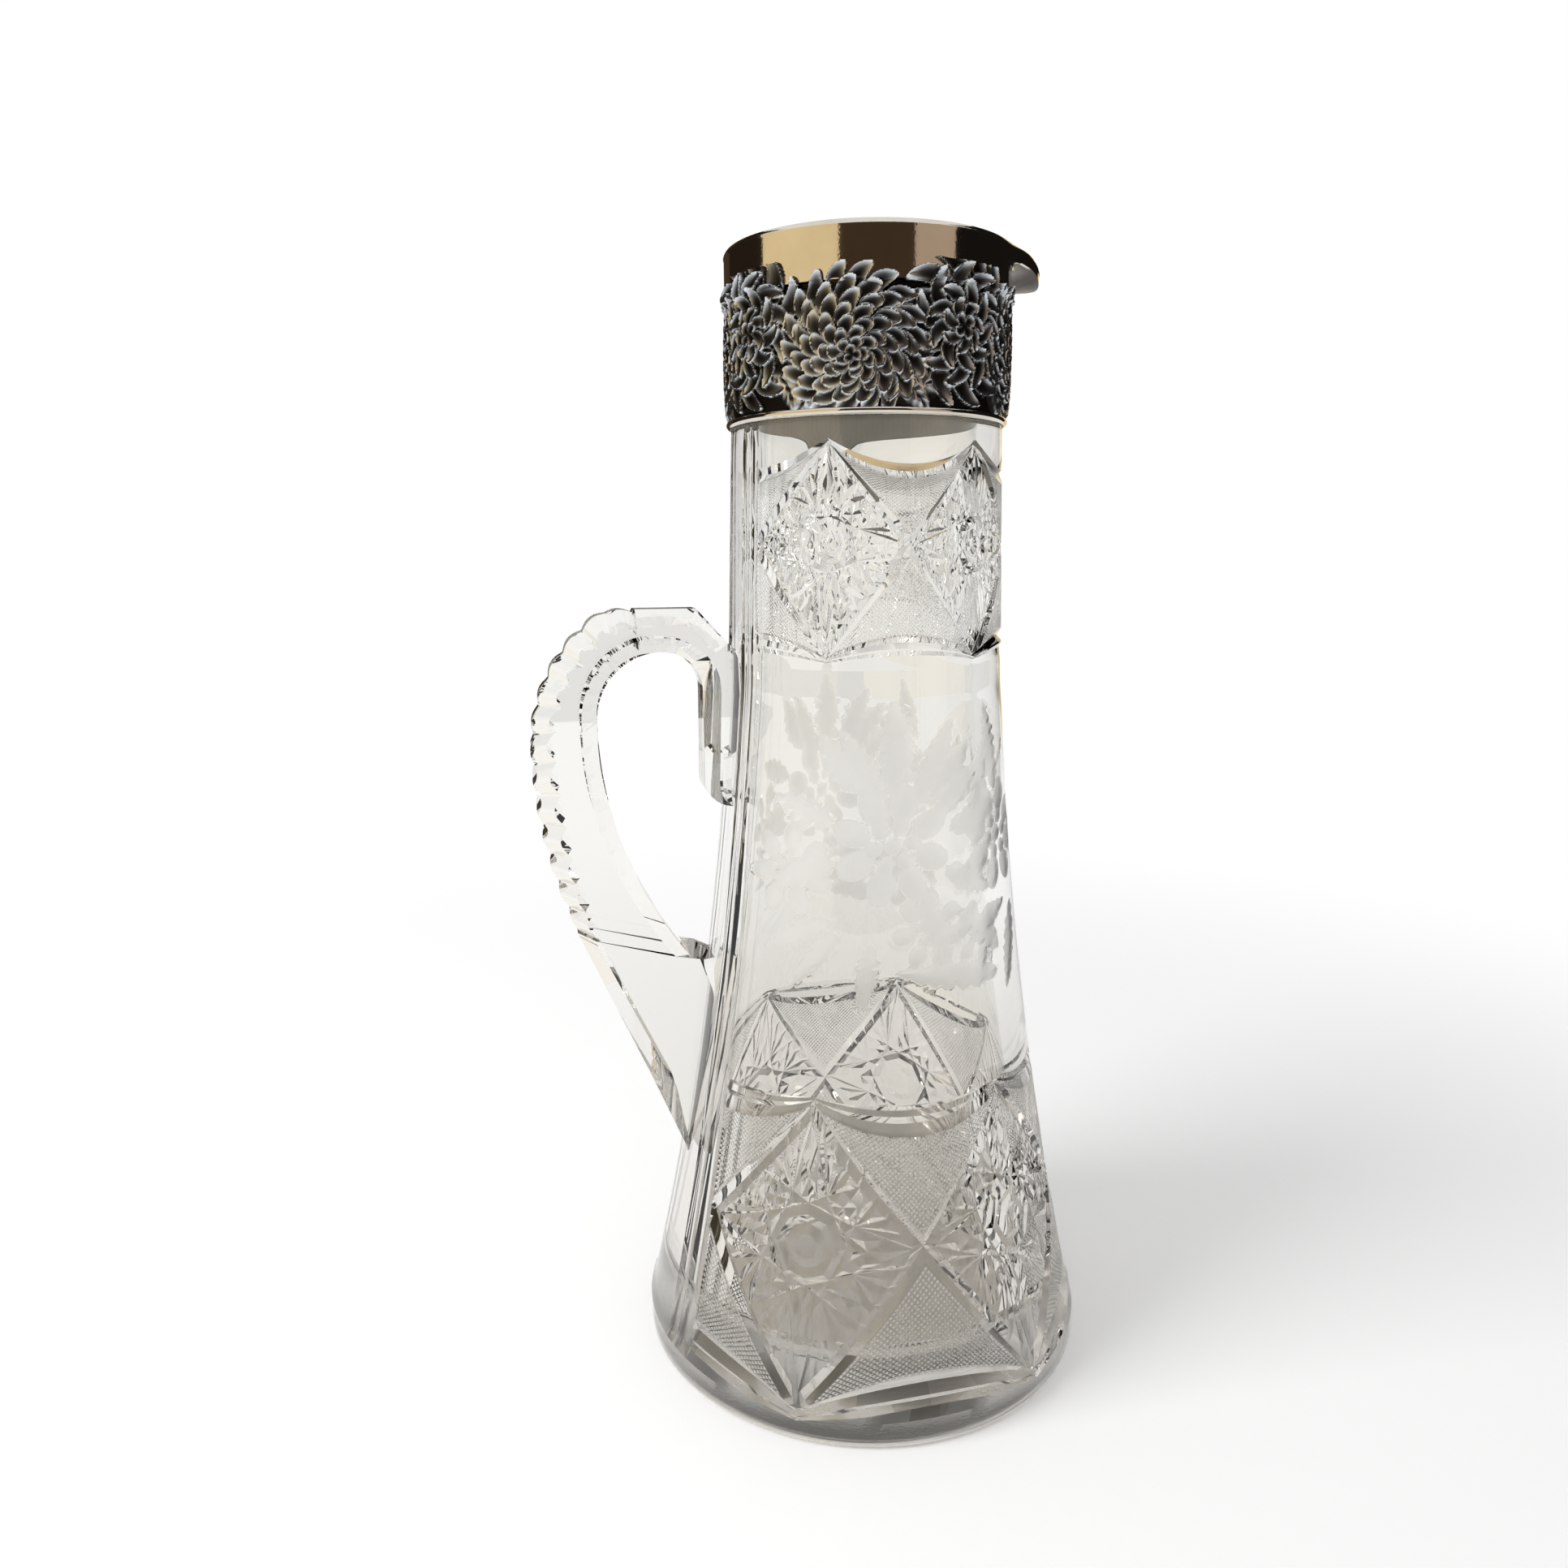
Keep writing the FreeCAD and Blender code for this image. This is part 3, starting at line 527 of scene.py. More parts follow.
@dataclass(frozen=True)
class PlasterFinish:
    """Matt set plaster, a little stained."""

    name: str
    pale: Colour = (0.80, 0.76, 0.69)
    stained: Colour = (0.62, 0.56, 0.47)
    stain_scale: float = 160.0
    grain_scale: float = 1800.0
    grain_depth: float = 0.0002
    grain_strength: float = 0.4
    roughness: float = 0.8
    grain_roughness: float = 0.15

    def material(self) -> bpy.types.Material:
        """Rough chalky surface with soft stains.

        Returns:
            The material.
        """
        material, board = new_board(self.name)
        place = board.place()
        stain = board.noise(place, self.stain_scale, CLOUD_DETAIL)
        grain = board.noise(place, self.grain_scale, GRAIN_DETAIL)
        board.surface(board.principled({
            "Base Color": board.mixed(stain, opaque(self.pale), opaque(self.stained)),
            "Roughness": self.roughness + self.grain_roughness * grain,
            "Normal": board.bump(grain, self.grain_depth, self.grain_strength),
        }))
        return material


@dataclass(frozen=True)
class GlassProfile:
    """Outside of the uncut glass: foot band, one concave flare and a tapered neck."""

    foot_radius: float = 63.5
    foot_height: float = 9.5
    foot_step: float = 1.1
    flare_radius: float = 1150.0
    waist_radius: float = 37.4
    waist_height: float = 190.0
    neck_radius: float = 35.7
    neck_height: float = 257.0

    def flare(self, height: np.ndarray, inset: float = 0.0) -> np.ndarray:
        """Radius on the flare's arc, moved inwards by an inset: x - sqrt(R^2 - (h - y)^2).

        Args:
            height: Heights on the flare.
            inset: Thickness of the wall that is taken off.

        Returns:
            The radii.
        """
        foot = np.array([self.foot_radius - self.foot_step, self.foot_height + self.foot_step])
        chord = np.array([self.waist_radius, self.waist_height]) - foot
        length = math.hypot(*chord)
        reach = math.sqrt(self.flare_radius ** 2 - length ** 2 / 4.0)
        centre = foot + chord / 2.0 + np.array([chord[1], -chord[0]]) / length * reach
        arc = (self.flare_radius + inset) ** 2 - (height - centre[1]) ** 2
        return centre[0] - np.sqrt(np.maximum(arc, 0.0))

    def radius(self, height: np.ndarray | float) -> np.ndarray:
        """Radius of the outside at a height.

        Args:
            height: Heights from the foot to the neck.

        Returns:
            The radii.
        """
        height = np.asarray(height, dtype=float)
        step_top = self.foot_height + self.foot_step
        rise = (height - self.waist_height) / (self.neck_height - self.waist_height)
        neck = self.waist_radius + (self.neck_radius - self.waist_radius) * rise
        upper = np.where(height > self.waist_height, neck, self.flare(height))
        step = self.foot_radius - np.clip(height - self.foot_height, 0.0, self.foot_step)
        return np.where(height < step_top, step, upper)


@dataclass(frozen=True)
class Border:
    """Scalloped edge of a cut band: curves beyond the hatching, each with its depth.

    Attributes:
        sag: How far the scallop dips into the band between two star points.
        curves: Pairs of distance beyond the hatching and depth of the cut.
        pinch: Share of the distance that is left where a star point meets the edge.
    """

    sag: float
    curves: tuple[tuple[float, float], ...]
    pinch: float = 0.3


@dataclass(frozen=True)
class Band:
    """Band of star diamonds with hatched triangles between them."""

    low: float
    crossing: float
    high: float
    lower_border: Border
    upper_border: Border
    star_depth: float
    mitre_depth: float
    mitre_width: float
    hub_radius: float
    hatch_depth: float


@dataclass
class Patch:
    """Piece of the developed glass: turns, heights and cut depths, with its triangles."""

    turn: np.ndarray
    height: np.ndarray
    depth: np.ndarray
    triangles: np.ndarray
    value: np.ndarray | float = CLEAR


LOWER_CURVES = ((3.0, 1.5), (5.4, 0.1), (6.8, 0.8), (8.2, 0.0))
LOWER_BAND = Band(
    low=8.5, crossing=50.0, high=86.0, star_depth=1.2, mitre_depth=1.4, mitre_width=4.6,
    hub_radius=9.8, hatch_depth=0.2,
    lower_border=Border(10.3, LOWER_CURVES), upper_border=Border(7.4, LOWER_CURVES),
)
NECK_BAND = Band(
    low=199.8, crossing=227.0, high=251.0, star_depth=0.9, mitre_depth=1.1, mitre_width=3.0,
    hub_radius=6.2, hatch_depth=0.15,
    lower_border=Border(5.2, ((1.6, 1.3), (3.0, 0.1), (3.6, 0.0), (4.8, 0.6), (8.5, 0.3))),
    upper_border=Border(8.5, ((1.6, 1.6), (3.3, 0.15), (6.0, 0.0), (9.5, 0.0))),
)


class FieldHalf(Enum):
    """Which side of a hatched triangle's upright middle line is made."""

    LEFT = -1.0
    BOTH = 0.0
    RIGHT = 1.0


class FlatMesh:
    """Facets laid out flat, across and up, each point with a depth of cut."""

    def __init__(self) -> None:
        """Start with no points."""
        self.points = np.zeros((0, 2))
        self.depths = np.zeros(0)
        self.facets: list[np.ndarray] = []

    def add(self, points: np.ndarray, depth: np.ndarray | float) -> np.ndarray:
        """Add points at a depth and give their numbers.

        Args:
            points: Places across and up.
            depth: Depth of each, or one depth for all.

        Returns:
            Numbers of the new points.
        """
        start = len(self.points)
        self.points = np.concatenate([self.points, points])
        self.depths = np.concatenate([self.depths, np.broadcast_to(depth, len(points))])
        return np.arange(start, len(self.points))

    def strip(self, ring: np.ndarray, other: np.ndarray) -> None:
        """Add two triangles for each step between two closed rings of as many points."""
        near, far = np.roll(ring, -1), np.roll(other, -1)
        self.facets += [np.stack([ring, near, far], axis=1), np.stack([ring, far, other], axis=1)]

    def peaked(self, cells: np.ndarray, depth: float, first_share: float | None = None) -> None:
        """Raise each cell to a peak.

        Args:
            cells: Corner numbers, a row for each cell.
            depth: Depth of the peaks.
            first_share: How far the peak lies towards the first corner from the middle of the
                others; the mean of all corners if not given.
        """
        share = 1.0 / cells.shape[1] if first_share is None else first_share
        corners = self.points[cells]
        far = corners[:, 1:].mean(axis=1)
        peak = self.add(far + (corners[:, 0] - far) * share, depth)
        after = np.roll(cells, -1, axis=1)
        sides = np.stack([cells, after, np.broadcast_to(peak[:, None], cells.shape)], axis=-1)
        self.facets.append(sides.reshape(-1, 3))

    def crossed(self, cells: np.ndarray, depth: float, peak: float) -> None:
        """Cut each cell crosswise into one small pyramid for each corner.

        Args:
            cells: Corner numbers, a row for each cell.
            depth: Depth at the cross.
            peak: Depth of the pyramids' peaks.
        """
        after = np.roll(cells, -1, axis=1)
        halfway = (self.points[cells] + self.points[after]) / 2.0
        deep = (self.depths[cells] + self.depths[after]) / 2.0
        middle = self.add(self.points[cells].mean(axis=1), depth)
        sides = self.add(halfway.reshape(-1, 2), deep.ravel()).reshape(cells.shape)
        for corner in range(cells.shape[1]):
            quarter = [cells[:, corner], sides[:, corner], middle, sides[:, corner - 1]]
            self.peaked(np.stack(quarter, axis=1), peak)

    def triangles(self) -> np.ndarray:
        """All facets, three point numbers each."""
        return np.concatenate(self.facets)


@dataclass(frozen=True)
class Engraving:
    """Wheel-engraved flowers: distances into each shape, above 0 inside, in millimetres."""

    mirror: bool
    turn: float = -95.5
    # Flowers: turn and height of the centre, size, number of petals.
    flowers: tuple[tuple[float, float, float, int], ...] = (
        (0.0, 153.0, 1.05, 7), (-38.0, 146.0, 0.82, 6), (13.0, 131.0, 0.7, 6),
        (50.0, 152.0, 1.0, 7), (34.0, 128.0, 0.6, 5))
    # Leaves: turn and height of the stalk, lean, length, half width.
    leaves: tuple[tuple[float, float, float, float, float], ...] = (
        (-4.0, 163.0, 118.0, 22.0, 4.4), (2.0, 164.0, 92.0, 26.0, 5.0),
        (9.0, 163.0, 64.0, 24.0, 4.6), (16.0, 160.0, 38.0, 22.0, 4.2),
        (-22.0, 134.0, 205.0, 20.0, 3.6), (-20.0, 131.0, 232.0, 18.0, 3.4),
        (-8.0, 128.0, 262.0, 17.0, 3.4), (44.0, 116.0, 172.0, 34.0, 4.4),
        (46.0, 122.0, 140.0, 22.0, 4.0), (34.0, 150.0, 78.0, 30.0, 4.4),
        (50.0, 164.0, 100.0, 24.0, 4.4), (60.0, 132.0, 250.0, 24.0, 4.2),
        (66.0, 150.0, 60.0, 28.0, 4.6), (30.0, 128.0, 20.0, 18.0, 3.6))
    leaf_teeth: int = 7
    # Blades that stand round the first flower.
    blade_leans: tuple[int, ...] = tuple(range(-62, 200, 37))
    blade_start: float = 16.0
    blade_length: float = 18.0
    blade_width: float = 4.4
    blade_teeth: int = 5

    def spread(self, profile: GlassProfile, turn: np.ndarray, height: np.ndarray, at: float,
               level: float) -> tuple[np.ndarray, np.ndarray]:
        """Flat place of each point about a centre: arc length across, height up.

        Args:
            profile: Outside of the glass.
            turn: Turns of the points.
            height: Heights of the points.
            at: Turn of the centre, from this spray's own middle.
            level: Height of the centre.

        Returns:
            Distance across and distance up.
        """
        side = -1.0 if self.mirror else 1.0
        across = wrapped(turn - side * (self.turn + at)) * side
        return np.radians(across) * profile.radius(height), height - level

    @staticmethod
    def petals(x: np.ndarray, y: np.ndarray, count: int, reach: float, length: float,
               width: float, phase: float) -> np.ndarray:
        """Ring of ellipses: width times (1 - sqrt((a / length)^2 + (b / width)^2)) for the nearest.

        Args:
            x: Distances across from the centre.
            y: Distances up from it.
            count: Number of petals.
            reach: Distance of the petals' middles.
            length: Half the length of a petal.
            width: Half its width.
            phase: Angle by which the ring is turned.

        Returns:
            Distances, above 0 inside.
        """
        angle = np.arctan2(y, x) + phase
        step = 2.0 * math.pi / count
        local = angle - np.round(angle / step) * step
        radius = np.hypot(x, y)
        along = radius * np.cos(local) - reach
        aside = radius * np.sin(local)
        return width * (1.0 - np.hypot(along / length, aside / width))

    @staticmethod
    def leaf(x: np.ndarray, y: np.ndarray, angle: float, length: float, width: float,
             teeth: int) -> np.ndarray:
        """Pointed leaf from its stalk: half width w sin(pi s) with saw teeth.

        Args:
            x: Distances across from the centre.
            y: Distances up from it.
            angle: Lean in degrees.
            length: Length of the leaf.
            width: Half its width.
            teeth: Number of saw teeth along it.

        Returns:
            Distances, above 0 inside.
        """
        lean = math.radians(angle)
        along = (x * math.cos(lean) + y * math.sin(lean)) / length
        aside = np.abs(-x * math.sin(lean) + y * math.cos(lean))
        inside = np.clip(along, 0.0, 1.0)
        tooth = 1.0 - 0.4 * saw(inside * teeth - aside / width * 0.8)
        half = width * np.sin(math.pi * inside ** 0.8) ** 0.75 * tooth
        return np.where((along > 0.0) & (along < 1.0), half - aside, -1.0)

    def depth(self, profile: GlassProfile, turn: np.ndarray, height: np.ndarray) -> np.ndarray:
        """Distance into the nearest engraved shape of this spray.

        Args:
            profile: Outside of the glass.
            turn: Turns of the points.
            height: Heights of the points.

        Returns:
            Distances, below 0 on clear glass.
        """
        shapes: list[np.ndarray] = []
        for at, level, size, count in self.flowers:
            x, y = self.spread(profile, turn, height, at, level)
            shapes += [
                self.petals(x, y, count + 1, 10.4 * size, 4.6 * size, 3.3 * size, 0.3),
                self.petals(x, y, count - 1, 5.0 * size, 2.3 * size, 1.9 * size, 0.9),
                2.0 * size - np.hypot(x, y),
            ]
        for at, level, angle, length, width in self.leaves:
            x, y = self.spread(profile, turn, height, at, level)
            shapes.append(self.leaf(x, y, angle, length, width, self.leaf_teeth))
        x, y = self.spread(profile, turn, height, *self.flowers[0][:2])
        for angle in self.blade_leans:
            lean = math.radians(angle)
            across = x - self.blade_start * math.cos(lean)
            up = y - self.blade_start * math.sin(lean)
            size = (self.blade_length, self.blade_width, self.blade_teeth)
            shapes.append(self.leaf(across, up, angle, *size))
        return np.maximum(np.max(shapes, axis=0), CLEAR)


@dataclass
class CutGlassBody:
    """The blown, cut and engraved vessel.

    Attributes:
        profile: Outside of the uncut glass.
        crossings: Turns at which the diamonds of neighbouring stars meet; the first and the last
            are the edges of the fluted panel behind the handle.
        strips: Number of hatching strips along one side of a diamond.
        facet: Number of strips that a mitre's sloping side takes.
        points: Number of points of a star.
        fans: Number of small cuts between two points of a star.
        hub_rings: Rings inside a star's hub: share of its radius, whether it is turned by half a
            point, and depth.
        under: Radius and height of the hollow-ground under side, from the axis outwards.
    """

    profile: GlassProfile
    crossings: tuple[float, ...] = (-154.0, -88.5, -26.0, 26.0, 88.5, 154.0)
    strips: int = 40
    facet: int = 2
    points: int = 8
    fans: int = 4
    land: float = 0.12
    hub_cut: float = 0.8
    hub_rings: tuple[tuple[float, bool, float], ...] = (
        (0.84, False, 0.12), (0.6, False, 0.8), (0.34, True, 0.12))
    cross_cut: float = 0.45
    fan_cut: float = 0.35
    fan_peak: float = 0.3
    groove_share: float = 0.4
    flutes: int = 2
    flute_turn: float = 6.0
    flute_columns: int = 6
    flute_depth: float = 0.8
    middle_rows: int = 112
    middle_margin: float = 0.03
    engraved_cut: float = 0.3
    engraved_slope: tuple[float, float] = (-0.1, 1.6)
    under: tuple[tuple[float, float], ...] = (
        (0.0, 0.9), (28.0, 0.8), (48.0, 0.5), (56.0, 0.1), (57.5, 0.0))
    foot_bend: float = 1.6
    foot_rows: tuple[float, ...] = (0.35, 0.7, 1.0)
    body_wall: float = 7.5
    seat_radius: float = 34.25
    bore_radius: float = 28.85
    glass_top: float = 291.1
    floor: float = 14.0
    cavity_corner: float = 9.0
    edge_break: float = 1.0
    bore_break: tuple[float, float] = (0.8, 1.2)
    bore_rows: int = 8
    wall_rows: int = 26
    floor_radii: tuple[float, ...] = (30.0, 15.0, 0.0)
    crease: float = 11.0
    frost_layer: str = "frost"

    def tops(self) -> np.ndarray:
        """Turns of the star points, with one beyond each edge of the panel."""
        low = np.array(self.crossings)
        inner = (low[:-1] + low[1:]) / 2.0
        return np.concatenate([[2.0 * low[0] - inner[0]], inner, [2.0 * low[-1] - inner[-1]]])

    def panel_turns(self) -> np.ndarray:
        """Turns of the columns across the panel: flutes, the plain middle, flutes.

        Returns:
            The turns, from one edge of the panel to the other.
        """
        start, end = self.crossings[-1], self.crossings[0] + 360.0
        wide = self.flutes * self.flute_turn
        many = self.flutes * self.flute_columns
        near = np.linspace(start, start + wide, many + 1)
        middle = np.linspace(start + wide, end - wide, many + 1)
        return np.concatenate([near, middle[1:-1], near[::-1] * -1.0 + start + end])

    def row(self) -> tuple[np.ndarray, np.ndarray]:
        """One full row from the panel's far edge round to it again.

        Returns:
            The turn of each column, and its share of the way between two star points.
        """
        tops = self.tops()
        whole = np.arange(self.strips) / self.strips
        shares = [whole[self.strips // 2:]] + [whole] * (len(tops) - 3) + [whole[:self.strips // 2]]
        turns = [tops[k] + (tops[k + 1] - tops[k]) * share for k, share in enumerate(shares)]
        panel = self.panel_turns()
        return np.concatenate(turns + [panel]), np.concatenate(shares + [np.full(len(panel), 0.5)])

    def scallop(self) -> np.ndarray:
        """Share of the scallop's sag at each column: 4 p (1 - p) between two star points."""
        share = self.row()[1]
        return 4.0 * share * (1.0 - share)

    def inside_panel(self, turn: np.ndarray) -> np.ndarray:
        """Distance in degrees from the panel's edge, above 0 inside it."""
        return 180.0 - self.crossings[-1] - np.abs(wrapped(turn - 180.0))

    def flute(self, turn: np.ndarray) -> np.ndarray:
        """Depth of the hollow flutes on both sides of the handle: parabolas side by side.

        Args:
            turn: Turns of the points.

        Returns:
            The depths.
        """
        inwards = self.inside_panel(turn)
        step = inwards / self.flute_turn
        hollow = 1.0 - (2.0 * saw(step) - 1.0) ** 2
        return np.where((inwards > WELD) & (step < self.flutes), self.flute_depth * hollow, 0.0)

    def mitre_and_hatch(self, edge: np.ndarray, band: Band) -> np.ndarray:
        """Depth of a hatching line at a number of strips from the diamond's side.

        Args:
            edge: Strips from the diamond's side.
            band: The band that it belongs to.

        Returns:
            The depths.
        """
        slope = band.mitre_depth * (1.0 - edge / self.facet)
        groove = band.hatch_depth * np.clip(edge - self.facet + self.groove_share, 0.0, 1.0)
        return np.where(edge < self.facet, slope, groove)

    def hatch_field(self, apex: tuple[float, float], left: tuple[float, float],
                    right: tuple[float, float], sag: float, band: Band, keep: FieldHalf) -> Patch:
        """Hatched triangle between two diamonds and a scallop.

        A point is apex + p (right - apex) + q (left - apex), and its height bends by sag 4 p q.
        Lines of equal p and of equal q are cut, so that each cell rises to a small pyramid.

        Args:
            apex: Turn and height where the diamonds cross.
            left: Turn and height of the star point on the left.
            right: Turn and height of the star point on the right.
            sag: Bend of the scallop, upwards.
            band: The band that the field belongs to.
            keep: Which half of the field is made.

        Returns:
            The patch.
        """
        n = self.strips
        i, j = np.nonzero(np.add.outer(np.arange(n + 1), np.arange(n + 1)) <= n)
        number = np.zeros((n + 1, n + 1), dtype=int)
        number[i, j] = np.arange(len(i))
        ci, cj = np.nonzero(np.add.outer(np.arange(n), np.arange(n)) <= n - 2)
        p = np.concatenate([i, ci + 0.5]) / n
        q = np.concatenate([j, cj + 0.5]) / n
        edge = np.minimum(ci, cj) + 0.5
        peak = np.maximum(band.mitre_depth * (1.0 - edge / self.facet), 0.0)
        depth = np.concatenate([self.mitre_and_hatch(np.minimum(i, j), band), peak])
        turn = apex[0] + p * (right[0] - apex[0]) + q * (left[0] - apex[0])
        height = apex[1] + p * (right[1] - apex[1]) + q * (left[1] - apex[1]) + sag * 4.0 * p * q
        a, b = number[ci, cj], number[ci + 1, cj]
        c, d = number[ci + 1, cj + 1], number[ci, cj + 1]
        e = len(i) + np.arange(len(ci))
        last = np.arange(n)
        rim = np.stack([number[last, n - 1 - last], number[last + 1, n - 1 - last],
                        number[last, n - last]], axis=1)
        sides = [np.stack(side, axis=1) for side in ((a, b, e), (b, c, e), (c, d, e), (d, a, e))]
        triangles = np.concatenate(sides + [rim])
        lean = (p - q)[triangles].sum(axis=1) * keep.value
        cut = np.where(np.minimum(i, j) >= self.facet, SHADED_GROOVE, CLEAR)
        value = np.concatenate([cut, np.where(edge > self.facet, PIP, CLEAR)])
        return Patch(turn, height, depth, triangles[lean >= 0.0], value)

    def panel_field(self, band: Band) -> Patch:
        """Upright strip of the panel within a band; its edges follow the hatched fields beside it.

        Args:
            band: The band that it belongs to.

        Returns:
            The patch.
        """
        half = np.arange(self.strips + 1) / (2.0 * self.strips)
        ends = ((band.low, band.lower_border.sag), (band.high, -band.upper_border.sag))
        drop, rise = (band.crossing + 2.0 * half * (end - band.crossing) + sag * 4.0 * half ** 2
                      for end, sag in ends)
        heights = np.concatenate([drop[::-1], rise[1:]])
        strip = np.concatenate([half[::-1], half[1:]]) * self.strips
        line = self.mitre_and_hatch(strip, band)
        peak = np.maximum(band.mitre_depth * (1.0 - strip / self.facet), 0.0)
        edge = np.where(np.abs(strip - np.round(strip)) < 0.25, line, peak)
        turns = self.panel_turns()
        depth = np.repeat(self.flute(turns)[None, :], len(heights), axis=0)
        depth[:, 0] = depth[:, -1] = edge
        turn, height = np.meshgrid(turns, heights)
        triangles = grid_triangles(len(heights), len(turns))
        return Patch(turn.ravel(), height.ravel(), depth.ravel(), triangles)

    def diamond_edge(self, half_width: float, band: Band) -> np.ndarray:
        """Places once round a diamond from its top, clockwise, across and up from its centre.

        Args:
            half_width: Distance from the centre to a side corner.
            band: The band that it belongs to.

        Returns:
            The places.
        """
        corners = np.array([(0.0, band.high - band.crossing), (half_width, 0.0),
                            (0.0, band.low - band.crossing), (-half_width, 0.0)])
        after = np.roll(corners, -1, axis=0)
        steps = np.arange(self.strips)[:, None] / self.strips
        return np.concatenate([start + (end - start) * steps for start, end in zip(corners, after)])

    def star(self, centre: float, half_turn: float, band: Band) -> Patch:
        """Star that fills a diamond, laid out flat, across and up from its centre.

        Eight straight cuts touch the hub and run out to the diamond. The kites between them are cut
        crosswise into four small pyramids, and the triangles along the diamond into narrow fans.

        Args:
            centre: Turn of the star.
            half_turn: Turn from its centre to the diamond's side corner.
            band: The band that the star belongs to.

        Returns:
            The patch.
        """
        scale = np.array([np.radians(1.0) * float(self.profile.radius(band.crossing)), 1.0])
        half_width = half_turn * scale[0]
        line = self.diamond_edge(half_width, band)
        half_height = min(band.high - band.crossing, band.crossing - band.low)
        inner = half_width * half_height / math.hypot(half_width, half_height)
        mesh = FlatMesh()
        field = line * (1.0 - band.mitre_width / 2.0 / inner)
        outside = mesh.add(line, band.mitre_depth)
        inside = mesh.add(field, self.land)
        mesh.strip(outside, inside)
        step = len(line) // self.points
        even = np.arange(self.points) * step
        ways = line[even] / np.linalg.norm(line[even], axis=1)[:, None]
        between = ways + np.roll(ways, 1, axis=0)
        between /= np.linalg.norm(between, axis=1)[:, None]
        deep = band.star_depth
        hub = mesh.add(ways * (band.hub_radius / math.cos(math.pi / self.points)), deep)
        tip = mesh.add(between * (band.hub_radius / math.cos(2.0 * math.pi / self.points)), deep)
        after = np.roll(tip, -1)
        kites = np.stack([hub, tip, inside[even], after], axis=1)
        mesh.crossed(kites, self.land + self.cross_cut * deep, self.land)
        mesh.peaked(np.stack([np.roll(hub, 1), tip, hub], axis=1), self.land)
        wide = step // self.fans
        for fan in range(self.fans):
            start = np.roll(even, 1) + fan * wide
            edge = [inside[(start + along) % len(line)] for along in range(wide + 1)]
            mesh.peaked(np.stack([tip] + edge, axis=1), self.land, self.fan_peak)
            mesh.depths[edge[0]] = self.land + self.fan_cut * deep
        ring = hub
        for share, turned, depth in self.hub_rings:
            compass = between if turned else ways
            new = mesh.add(compass * band.hub_radius * share, depth)
            mesh.strip(ring, new)
            ring = new
        mesh.peaked(ring[None, :], self.hub_cut)
        place = mesh.points / scale + (centre, band.crossing)
        return Patch(place[:, 0], place[:, 1], mesh.depths, mesh.triangles())

    def band_patches(self, band: Band) -> list[Patch]:
        """Stars, panel strip and hatched triangles of one band.

        Args:
            band: The band.

        Returns:
            The patches.
        """
        tops = self.tops()
        halves = {0: FieldHalf.RIGHT, len(self.crossings) - 1: FieldHalf.LEFT}
        patches = [self.panel_field(band)]
        for k, crossing in enumerate(self.crossings):
            apex = (crossing, band.crossing)
            for edge, sag in ((band.high, -band.upper_border.sag), (band.low, band.lower_border.sag)):
                left, right = (tops[k], edge), (tops[k + 1], edge)
                keep = halves.get(k, FieldHalf.BOTH)
                patches.append(self.hatch_field(apex, left, right, sag, band, keep))
            if k:
                patches.append(self.star(tops[k], crossing - tops[k], band))
        return patches

    def border_rows(self, band: Band, upper: bool) -> list[tuple[np.ndarray, np.ndarray]]:
        """Heights and depths of the rows across a border, from the hatching outwards.

        Args:
            band: The band.
            upper: Whether it is the band's upper border.

        Returns:
            One pair of arrays for each row.
        """
        border = band.upper_border if upper else band.lower_border
        sign = 1.0 if upper else -1.0
        turn, share = self.row()
        scallop = self.scallop()
        foot = (band.high if upper else band.low) - sign * border.sag * scallop
        strip = np.minimum(share, 1.0 - share) * self.strips
        panel = self.inside_panel(turn) > WELD
        flute = self.flute(turn)
        rows = [(foot, np.where(panel, flute, self.mitre_and_hatch(strip, band)))]
        spread = border.pinch + (1.0 - border.pinch) * scallop
        for distance, depth in border.curves:
            rows.append((foot + sign * distance * spread, np.where(panel, flute, depth)))
        return rows

    def add_rows(self, skin: Skin, radii: np.ndarray, heights: np.ndarray,
                 values: np.ndarray | float) -> None:
        """Add a grid of full rows round the glass, a row of radii and heights each.

        Args:
            skin: The glass skin.
            radii: Radii, a row for each height.
            heights: Heights, of the same shape.
            values: The frost layer's numbers.
        """
        rows, columns = radii.shape
        points = on_axis(self.row()[0][None, :], radii, heights)
        skin.add(points, grid_triangles(rows, columns), np.broadcast_to(values, radii.shape).ravel())

    def add_cut_rows(self, skin: Skin, rows: Sequence[tuple[np.ndarray, np.ndarray]]) -> None:
        """Add full rows given by height and cut depth.

        Args:
            skin: The glass skin.
            rows: Heights and depths of each row.
        """
        heights = np.stack([row[0] for row in rows])
        depths = np.stack([row[1] for row in rows])
        self.add_rows(skin, self.profile.radius(heights) - depths, heights, CLEAR)

    def add_foot(self, skin: Skin, edge: tuple[np.ndarray, np.ndarray]) -> None:
        """Add the foot: a hollow-ground under side, a rounded edge, and the plain band.

        Args:
            skin: The glass skin.
            edge: Heights and depths of the lowest row of the lower border.
        """
        bend = self.foot_bend
        angle = np.radians(np.linspace(-90.0, 0.0, 6))
        turned = np.stack([self.profile.foot_radius - bend + bend * np.cos(angle),
                           bend + bend * np.sin(angle)], axis=1)
        line = np.concatenate([self.under, turned])
        radii = [np.full(len(edge[0]), radius) for radius in line[:, 0]]
        heights = [np.full(len(edge[0]), height) for height in line[:, 1]]
        for share in self.foot_rows:
            height = bend + (edge[0] - bend) * share
            radii.append(self.profile.radius(height) - edge[1] * (share == 1.0))
            heights.append(height)
        ground = np.where(np.arange(len(radii)) < len(self.under), GROUND, CLEAR)[:, None]
        self.add_rows(skin, np.stack(radii), np.stack(heights), ground)

